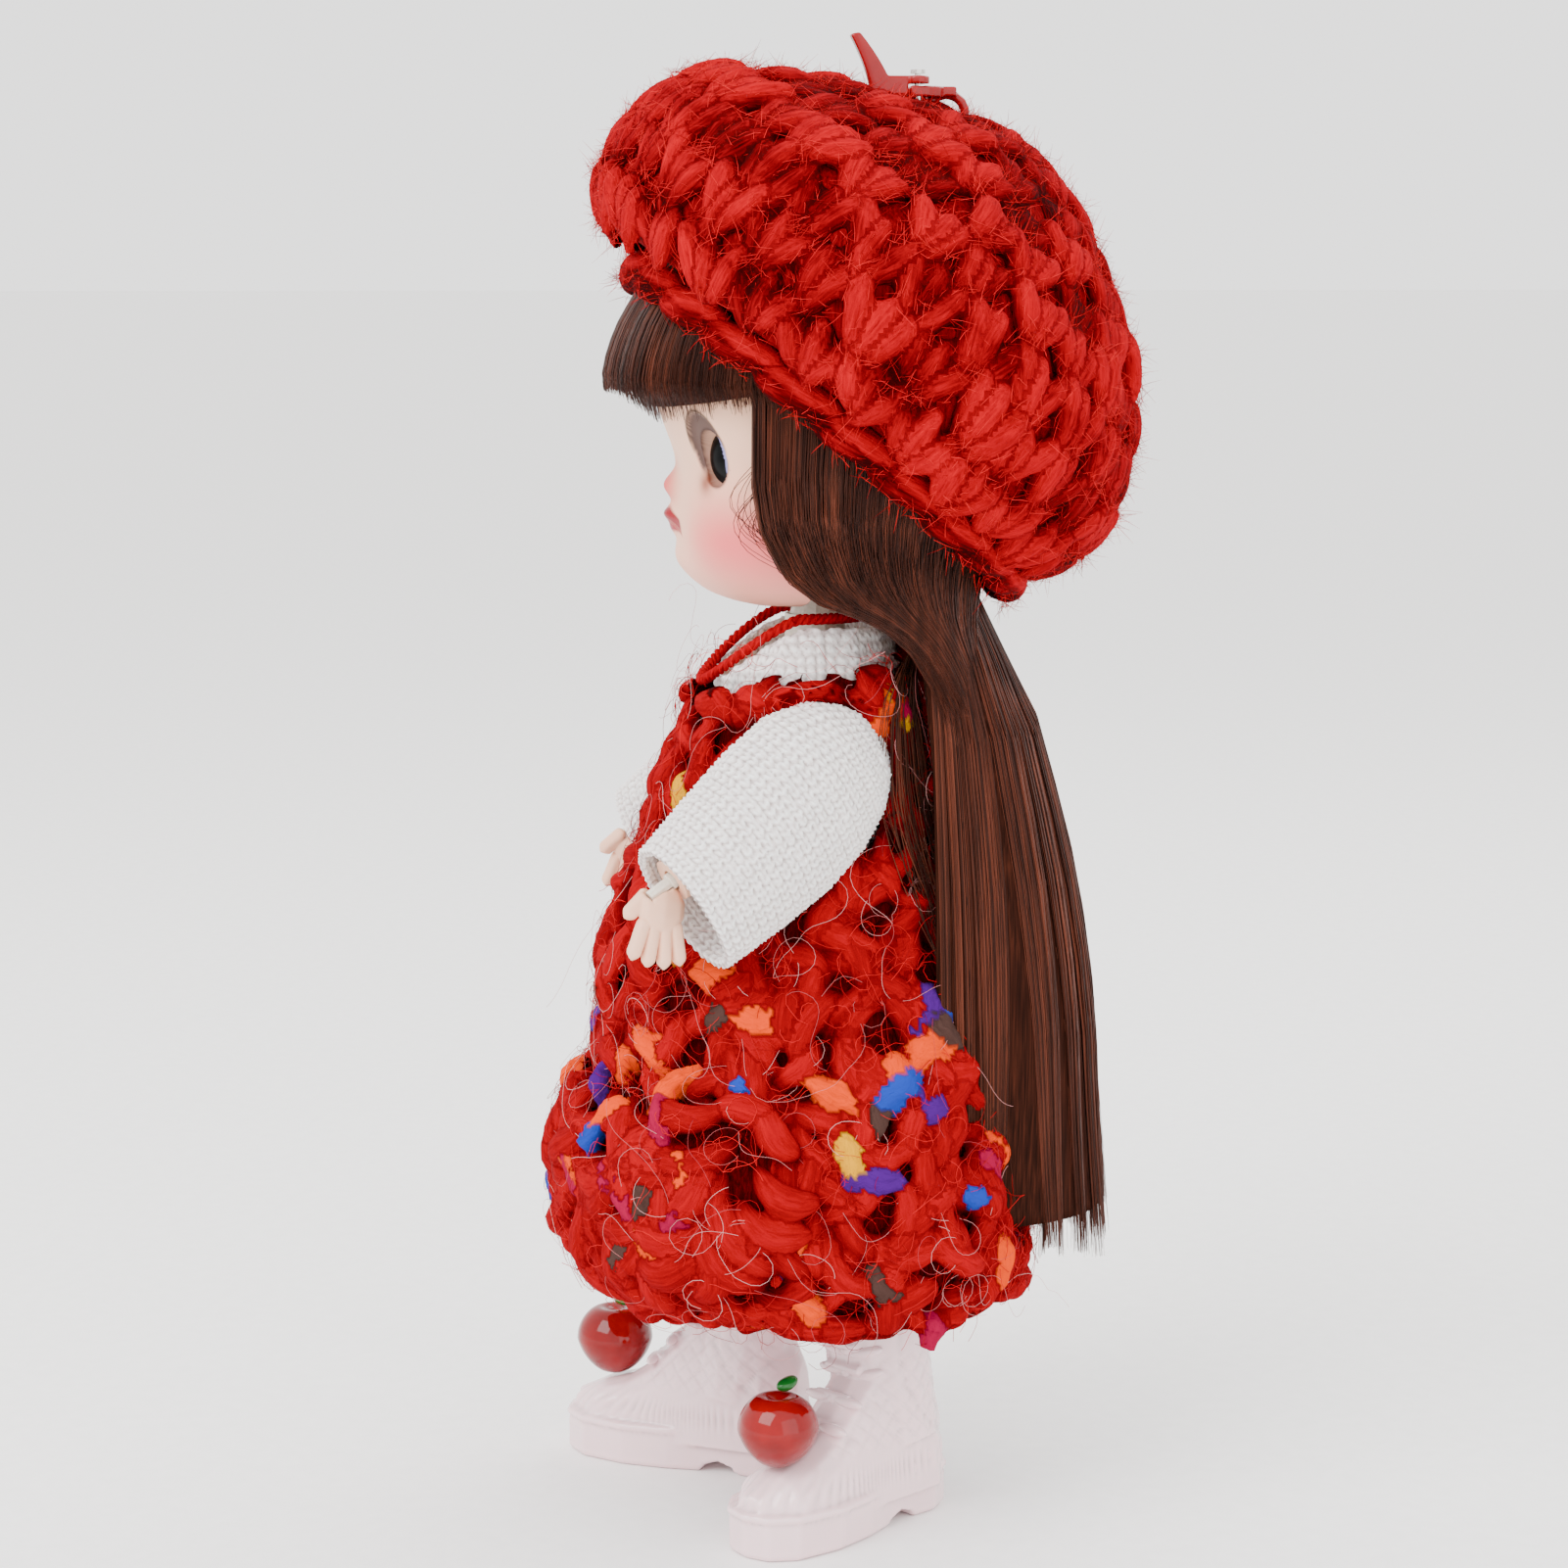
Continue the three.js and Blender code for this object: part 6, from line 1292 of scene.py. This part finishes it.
class DOLLCHARM_OT_dress(bpy.types.Operator):
    """Crochet the dress and its pocket in mohair with coloured slubs and loose curls"""

    bl_idname = "doll_charm.dress"
    bl_label = "Dress"

    def execute(self, context):
        chance = random.Random(71)
        for node, name in (("dress", "dress_ground"), ("dress_pocket", "pocket_ground")):
            # The grounds under the loops are given a very low height, so they are painted near black as the shade
            # between them.
            bm = plain_yarn(node, 0.85, 3, -0.4, 0.35, 0.1)
            piece(name, bm, boucle_mohair(), "torso", (node,))

        def axis(place):
            return Vector((SHIFT.x * MM, (SHIFT.y - 1.5) * MM, place.z))

        surface = surface_of("dress")
        dress = places_on(DRESS, [28.0 + 3.4 * i for i in range(22)], 3.3, surface, chance)
        bm = crocheted(dress, surface, chance, (6, 13), (2.3, 3.7), 0.5, 135)
        piece("dress_loops", fused(bm, 0.55, 3, surface, 2.2, axis), boucle_mohair(), "torso")
        surface = surface_of("dress_pocket")
        front = (math.pi - 0.5, 2 * math.pi + 0.5)
        pocket = places_on(POCKET, [29.5 + 3.2 * i for i in range(8)], 3.6, surface, chance, 2.2, front)
        bm = crocheted(pocket, surface, chance, (9, 16), (3.2, 4.6), 0.9, 32)
        piece("pocket_loops", fused(bm, 0.45, 3, surface, 2.4, axis), boucle_mohair(), "torso")
        radius = settings().curl_radius / MM
        # Each kind of curl: piece, number, length in curl radii, steps, bend, thickness and its two tones
        for name, count, low, high, steps, bend, thickness, tones in (
            ("dress_curls", 2700, 0.6, 1.8, 9, 0.9, 0.07, ("Loose red mohair", "#6a0008", "#d0141c")),
            ("dress_pale_curls", 420, 1.2, 4.5, 19, 0.55, 0.05, ("Loose pale mohair", "#9c2c34", "#e0a8a4")),
        ):
            paths = curls(dress + pocket, count, (low * radius, high * radius), steps, bend, chance)
            mesh = strands(name, paths, thickness, False)
            piece_of_mesh(name, mesh, loose_fibre(*tones), "torso")
        return {"FINISHED"}


# Shirt, its trim and sleeves


def stitch_height(across, along, width=1.15, height=1.2):
    """Relief of stockinette from 0 in the gaps to 1 on the yarn, for a place on the cloth in millimetres."""
    row = along / height
    column = across / width
    part = column - math.floor(column) - 0.5
    lean = row + 1.1 * abs(part)
    rib = 0.5 + 0.5 * math.cos(2 * math.pi * lean)
    centre = 1 - bump(part, 0.07) * 0.55
    edge = 1 - bump(abs(part) - 0.5, 0.09) * 0.8
    return (0.25 + 0.75 * rib) * centre * edge


class DOLLCHARM_OT_shirt(bpy.types.Operator):
    """Knit the shirt and twist the trim round its neckline"""

    bl_idname = "doll_charm.shirt"
    bl_label = "Shirt"

    def execute(self, context):
        bm = soft_copy("shirt_body", 0.38, 3)
        height_layer = bm.verts.layers.float.new("height")
        for v in bm.verts:
            point = v.co / MM - SHIFT
            turn = math.atan2(point.y + 2, point.x)
            value = stitch_height(turn * 11.5, point.z)
            v[height_layer] = value
            v.co += v.normal * 0.4 * (value - 0.5) * MM
        piece("shirt_knit", bm, cotton_knit(), "torso", ("shirt_body",))
        paths = []
        for strand in range(3):
            path = []
            for i in range(241):
                angle = 2 * math.pi * i / 240
                y = NECKLINE_Y + TRIM_RADII[1] * math.sin(angle)
                height = 105 - 7.6 * (max(-4.6 - y, 0) / 10.6) ** 1.35
                twist = 26 * angle + strand * 2 * math.pi / 3
                out = 0.36 * math.cos(twist)
                x = (TRIM_RADII[0] + out) * math.cos(angle)
                path.append(Vector((x, y + out * math.sin(angle), height + 0.36 * math.sin(twist))))
            paths.append(path)
        mesh = strands("neckline_trim", paths, 0.66, False, 8)
        heights = [0.75] * len(mesh.vertices)
        mesh.attributes.new("height", "FLOAT", "POINT").data.foreach_set("value", heights)
        along = [c / MM for v in mesh.vertices for c in v.co]
        mesh.attributes.new("yarn", "FLOAT_VECTOR", "POINT").data.foreach_set("vector", along)
        piece_of_mesh("neckline_trim", mesh, brushed_wool(), "torso", ("collar_trim",))
        return {"FINISHED"}


ARM_AXES = (Vector((0.940, 0.287, 0.186)), Vector((0.0, 0.545, -0.839)), Vector((-0.342, 0.788, 0.512)))
SHOULDER = Vector((14.0, -2.6, 89.0))
ELBOW = Vector((18.104, -12.057, 82.858))
SHOULDER_KNIT = 5.1


class DOLLCHARM_OT_sleeves(bpy.types.Operator):
    """Knit the two wide sleeves"""

    bl_idname = "doll_charm.sleeves"
    bl_label = "Sleeves"

    def execute(self, context):
        for side, name in SIDES:
            bm = soft_copy(f"sleeve_{name}", 0.34, 4)
            layer = bm.verts.layers.float.new("height")
            for v in bm.verts:
                point = v.co / MM - SHIFT
                local = Vector((point.x * side, point.y, point.z)) - SHOULDER
                x, y, z = (local.dot(axis) for axis in ARM_AXES)
                turn = math.atan2(y - 2.2, x - 1.7)
                value = stitch_height(z, turn * 8.6, 1.2, 1.15)
                v[layer] = value
                v.co += v.normal * 0.45 * (value - 0.5) * MM
            obj = piece(f"sleeve_knit_{name}", bm, cotton_knit(), None, (f"sleeve_{name}",))
            elbow = Vector((ELBOW.x * side, ELBOW.y, ELBOW.z))
            ahead = -Vector((ARM_AXES[2].x * side, ARM_AXES[2].y, ARM_AXES[2].z))
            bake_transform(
                obj, f"upper_arm_{name}", f"forearm_{name}", start=placed(elbow - ahead * 4), end=placed(elbow + ahead * 6)
            )
            # The knit goes on into the armhole round the shoulder, so no bare arm shows when it is raised
            bm = bmesh.new()
            bmesh.ops.create_uvsphere(bm, u_segments=72, v_segments=48, radius=SHOULDER_KNIT)
            layer = bm.verts.layers.float.new("height")
            for v in bm.verts:
                x, y, z = v.co
                z -= 8 if z < -0.01 else 0
                value = stitch_height(z, math.atan2(y, x) * SHOULDER_KNIT, 1.2, 1.15)
                v[layer] = value
                swell = 1 + 0.05 * (value - 0.5)
                local = ARM_AXES[0] * x * swell + ARM_AXES[1] * y * swell + ARM_AXES[2] * z + SHOULDER
                v.co = placed(Vector((local.x * side, local.y, local.z)))
            bmesh.ops.recalc_face_normals(bm, faces=bm.faces)
            piece(f"shoulder_knit_{name}", bm, cotton_knit(), f"upper_arm_{name}")
        return {"FINISHED"}


# Hands, boots and apples


class DOLLCHARM_OT_hands(bpy.types.Operator):
    """Round off the moulded hands"""

    bl_idname = "doll_charm.hands"
    bl_label = "Hands"

    def execute(self, context):
        for name in ("left", "right"):
            bm = soft_copy(f"hand_{name}", 0.16, 8, 0.22)
            piece(f"hand_vinyl_{name}", bm, vinyl_skin(), f"hand_{name}", (f"hand_{name}",))
        return {"FINISHED"}


BOOTS = {
    "left": (Vector((8.988, 5.196, 0.0)), math.radians(40)),
    "right": (Vector((-8.989, -9.248, 0.0)), math.radians(-30)),
}


def boot_frame(name):
    origin, turn = BOOTS[name]
    return Matrix.Translation(origin) @ Matrix.Rotation(turn, 4, "Z")


class DOLLCHARM_OT_boots(bpy.types.Operator):
    """Mould the lace-up boots with their welts and laces"""

    bl_idname = "doll_charm.boots"
    bl_label = "Boots"

    def execute(self, context):
        for name in ("left", "right"):
            base = boot_frame(name)
            back = base.inverted()
            bm = soft_copy(f"boot_{name}", 0.29, 4)
            for v in bm.verts:
                x, y, z = back @ (v.co / MM - SHIFT)
                run = math.atan2(x, -y - 6) * 11
                # Pressed ribs of the welt, 1.1 mm apart, and a quilted side in diamonds of 2.4 mm
                rib = 0.13 * math.cos(2 * math.pi * run / 1.1) * bump(z - 7.0, 0.9)
                side = clamp(abs(x) - 2.6) * clamp(min((z - 9.5) / 1.5, (21 - z) / 1.5))
                quilt = max(math.cos(math.pi * (y + z) / 2.4) ** 16, math.cos(math.pi * (y - z) / 2.4) ** 16)
                heel = 0.22 * bump(math.hypot(y - 10, z - 21) - 12.5, 0.35)
                v.co += v.normal * (rib - 0.14 * side * quilt - heel) * MM
            piece(f"boot_moulded_{name}", bm, moulded_vinyl(), f"boot_{name}", (f"boot_{name}",))
            # Lace bars on both sides of a knotted cord
            leather = surface_of(f"boot_{name}")
            ahead = (base.to_3x3() @ Vector((0, 1, 0))).normalized()
            chance = random.Random(3)
            bm = bmesh.new()
            layers = yarn_layers(bm)
            for k in range(6):
                height = 12.6 + 2.7 * k
                for across, size in ((-2.3, (4.2, 1.35, 1.3)), (2.3, (4.2, 1.35, 1.3)), (0, (1.5, 1.3, 1.5))):
                    start = base @ Vector((across, -30, height))
                    found, normal, _, _ = leather.ray_cast(placed(start), ahead)
                    if found is None:
                        continue
                    lean = 0.25 * math.copysign(1, across) if across else 0
                    along = base.to_3x3() @ Vector((1, lean, 0.12 * across))
                    at = found / MM - SHIFT - normal * 0.2
                    lobe(bm, layers, at, along, normal, size, chance, 0.0, rings=(12, 10))
            piece(f"boot_laces_{name}", bm, moulded_vinyl(), f"boot_{name}")
        return {"FINISHED"}


class DOLLCHARM_OT_apples(bpy.types.Operator):
    """Make the glossy apples with their leaves"""

    bl_idname = "doll_charm.apples"
    bl_label = "Apples"

    def execute(self, context):
        radius = 4.65
        red = lacquer("Lacquered resin apple", "#6c0204", "#840306")
        green = lacquer("Lacquered resin leaf", "#0c4a16", "#1c6a24", 0.2)
        for name in ("left", "right"):
            base = boot_frame(name) @ Matrix.Translation((0, -17.8, 9.8 + radius * 0.9))
            bm = bmesh.new()
            bmesh.ops.create_uvsphere(bm, u_segments=48, v_segments=32, radius=radius)
            for v in bm.verts:
                height = v.co.z / radius
                angle = math.atan2(v.co.y, v.co.x)
                low = max(-height, 0)
                waist = 1 - 0.16 * low - 0.07 * low * (0.5 + 0.5 * math.cos(5 * angle))
                dimple = 1.3 * bump(math.hypot(v.co.x, v.co.y), 1.1) * max(height, 0)
                point = Vector((v.co.x * waist, v.co.y * waist, max(v.co.z * 0.97 - dimple, -radius * 0.9)))
                v.co = placed(base @ point)
            piece(f"apple_lacquered_{name}", bm, red, f"boot_{name}", (f"apple_{name}",))
            bm = bmesh.new()
            bmesh.ops.create_uvsphere(bm, u_segments=20, v_segments=14, radius=1)
            for v in bm.verts:
                x, y, z = v.co
                point = Vector((x * 0.95, 1.5 + y * 1.5, 0.5 + z * 0.75 + 0.5 * ((y + 1) / 2) ** 2))
                v.co = placed(base @ (point + Vector((0, 0, radius - 0.35))))
            piece(f"leaf_lacquered_{name}", bm, green, f"boot_{name}", (f"apple_leaf_{name}",))
        return {"FINISHED"}


class DOLLCHARM_OT_clasp(bpy.types.Operator):
    """Enamel the trigger clasp and its gate"""

    bl_idname = "doll_charm.clasp"
    bl_label = "Clasp"

    def execute(self, context):
        enamel = lacquer("Red enamel", "#7e0208", "#8e040c", 0.3)
        for node, body in (("clasp_body", "clasp"), ("clasp_gate", "gate")):
            bm = soft_copy(node, 0.14, 4, 0.05)
            piece(f"{node}_enamelled", bm, enamel, body, (node,))
        return {"FINISHED"}


class DOLLCHARM_OT_inner_parts(bpy.types.Operator):
    """Give the joints, limbs, screws and shells their finishes"""

    bl_idname = "doll_charm.inner_parts"
    bl_label = "Inner parts"

    def execute(self, context):
        for name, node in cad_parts.items():
            if any(word in name for word in ("screw", "pin", "spring")):
                finish = plated_steel()
            elif any(word in name for word in ("disc", "peg", "post", "carrier")):
                finish = abs_core()
            elif name == "hair_cap":
                finish = hair_ground()
            else:
                finish = vinyl_skin()
            node.data.materials.clear()
            node.data.materials.append(finish)
        return {"FINISHED"}


# Stage


class DOLLCHARM_OT_stage(bpy.types.Operator):
    """Set the pale floor, the soft studio lights and the camera"""

    bl_idname = "doll_charm.stage"
    bl_label = "Stage"

    def execute(self, context):
        bm = bmesh.new()
        bmesh.ops.create_grid(bm, x_segments=2, y_segments=2, size=20)
        floor = piece("floor", bm, studio_floor())
        world = bpy.data.worlds.new("Studio")
        world.use_nodes = True
        world.node_tree.nodes["Background"].inputs["Color"].default_value = srgb("#fdfcfb")
        world.node_tree.nodes["Background"].inputs["Strength"].default_value = 2.2
        context.scene.world = world
        target = Vector((-0.000077, -0.00683, 0.085))
        for name, place, size, power in (
            ("key", (0.35, -0.42, 0.55), 0.5, 6.5),
            ("fill", (0.6, 0.35, 0.25), 0.6, 2.0),
            ("rim", (-0.3, 0.3, 0.6), 0.4, 2.0),
        ):
            light = bpy.data.lights.new(name, "AREA")
            light.size = size
            light.energy = power
            lamp = bpy.data.objects.new(name, light)
            lamp.location = place
            lamp.rotation_euler = (target - lamp.location).to_track_quat("-Z", "Y").to_euler()
            context.scene.collection.objects.link(lamp)
        azimuth, elevation, distance = math.radians(84), math.radians(8), 0.431
        level = math.cos(elevation)
        look = Vector((-math.sin(azimuth) * level, math.cos(azimuth) * level, -math.sin(elevation)))
        lens = bpy.data.cameras.new("camera")
        lens.lens = 85
        lens.sensor_width = 36
        lens.clip_start = 0.01
        camera = bpy.data.objects.new("camera", lens)
        camera.location = target - look * distance
        camera.rotation_euler = look.to_track_quat("-Z", "Y").to_euler()
        context.scene.collection.objects.link(camera)
        context.scene.camera = camera
        return {"FINISHED"}


STEPS = (
    DOLLCHARM_OT_inner_parts, DOLLCHARM_OT_face, DOLLCHARM_OT_eyes, DOLLCHARM_OT_bangs, DOLLCHARM_OT_side_hair,
    DOLLCHARM_OT_hair_fall, DOLLCHARM_OT_hat, DOLLCHARM_OT_dress, DOLLCHARM_OT_shirt, DOLLCHARM_OT_sleeves,
    DOLLCHARM_OT_hands, DOLLCHARM_OT_boots, DOLLCHARM_OT_apples, DOLLCHARM_OT_clasp, DOLLCHARM_OT_stage,
)


class DOLLCHARM_PT_panel(bpy.types.Panel):
    bl_label = "Doll charm"
    bl_idname = "DOLLCHARM_PT_panel"
    bl_space_type = "VIEW_3D"
    bl_region_type = "UI"
    bl_category = "Doll charm"

    def draw(self, context):
        choices = context.scene.doll_charm
        for name in DollCharmSettings.__annotations__:
            self.layout.prop(choices, name)
        for step in STEPS:
            self.layout.operator(step.bl_idname)


CLASSES = (DollCharmSettings, *STEPS, DOLLCHARM_PT_panel)


def register():
    for each in CLASSES:
        bpy.utils.register_class(each)
    bpy.types.Scene.doll_charm = bpy.props.PointerProperty(type=DollCharmSettings)


def unregister():
    del bpy.types.Scene.doll_charm
    for each in reversed(CLASSES):
        bpy.utils.unregister_class(each)


def main():
    register()
    bpy.ops.doll_charm.inner_parts()
    bpy.ops.doll_charm.face()
    bpy.ops.doll_charm.eyes()
    bpy.ops.doll_charm.bangs()
    bpy.ops.doll_charm.side_hair()
    bpy.ops.doll_charm.hair_fall()
    bpy.ops.doll_charm.hat()
    bpy.ops.doll_charm.dress()
    bpy.ops.doll_charm.shirt()
    bpy.ops.doll_charm.sleeves()
    bpy.ops.doll_charm.hands()
    bpy.ops.doll_charm.boots()
    bpy.ops.doll_charm.apples()
    bpy.ops.doll_charm.clasp()
    bpy.ops.doll_charm.stage()


if __name__ == "__main__":
    main()
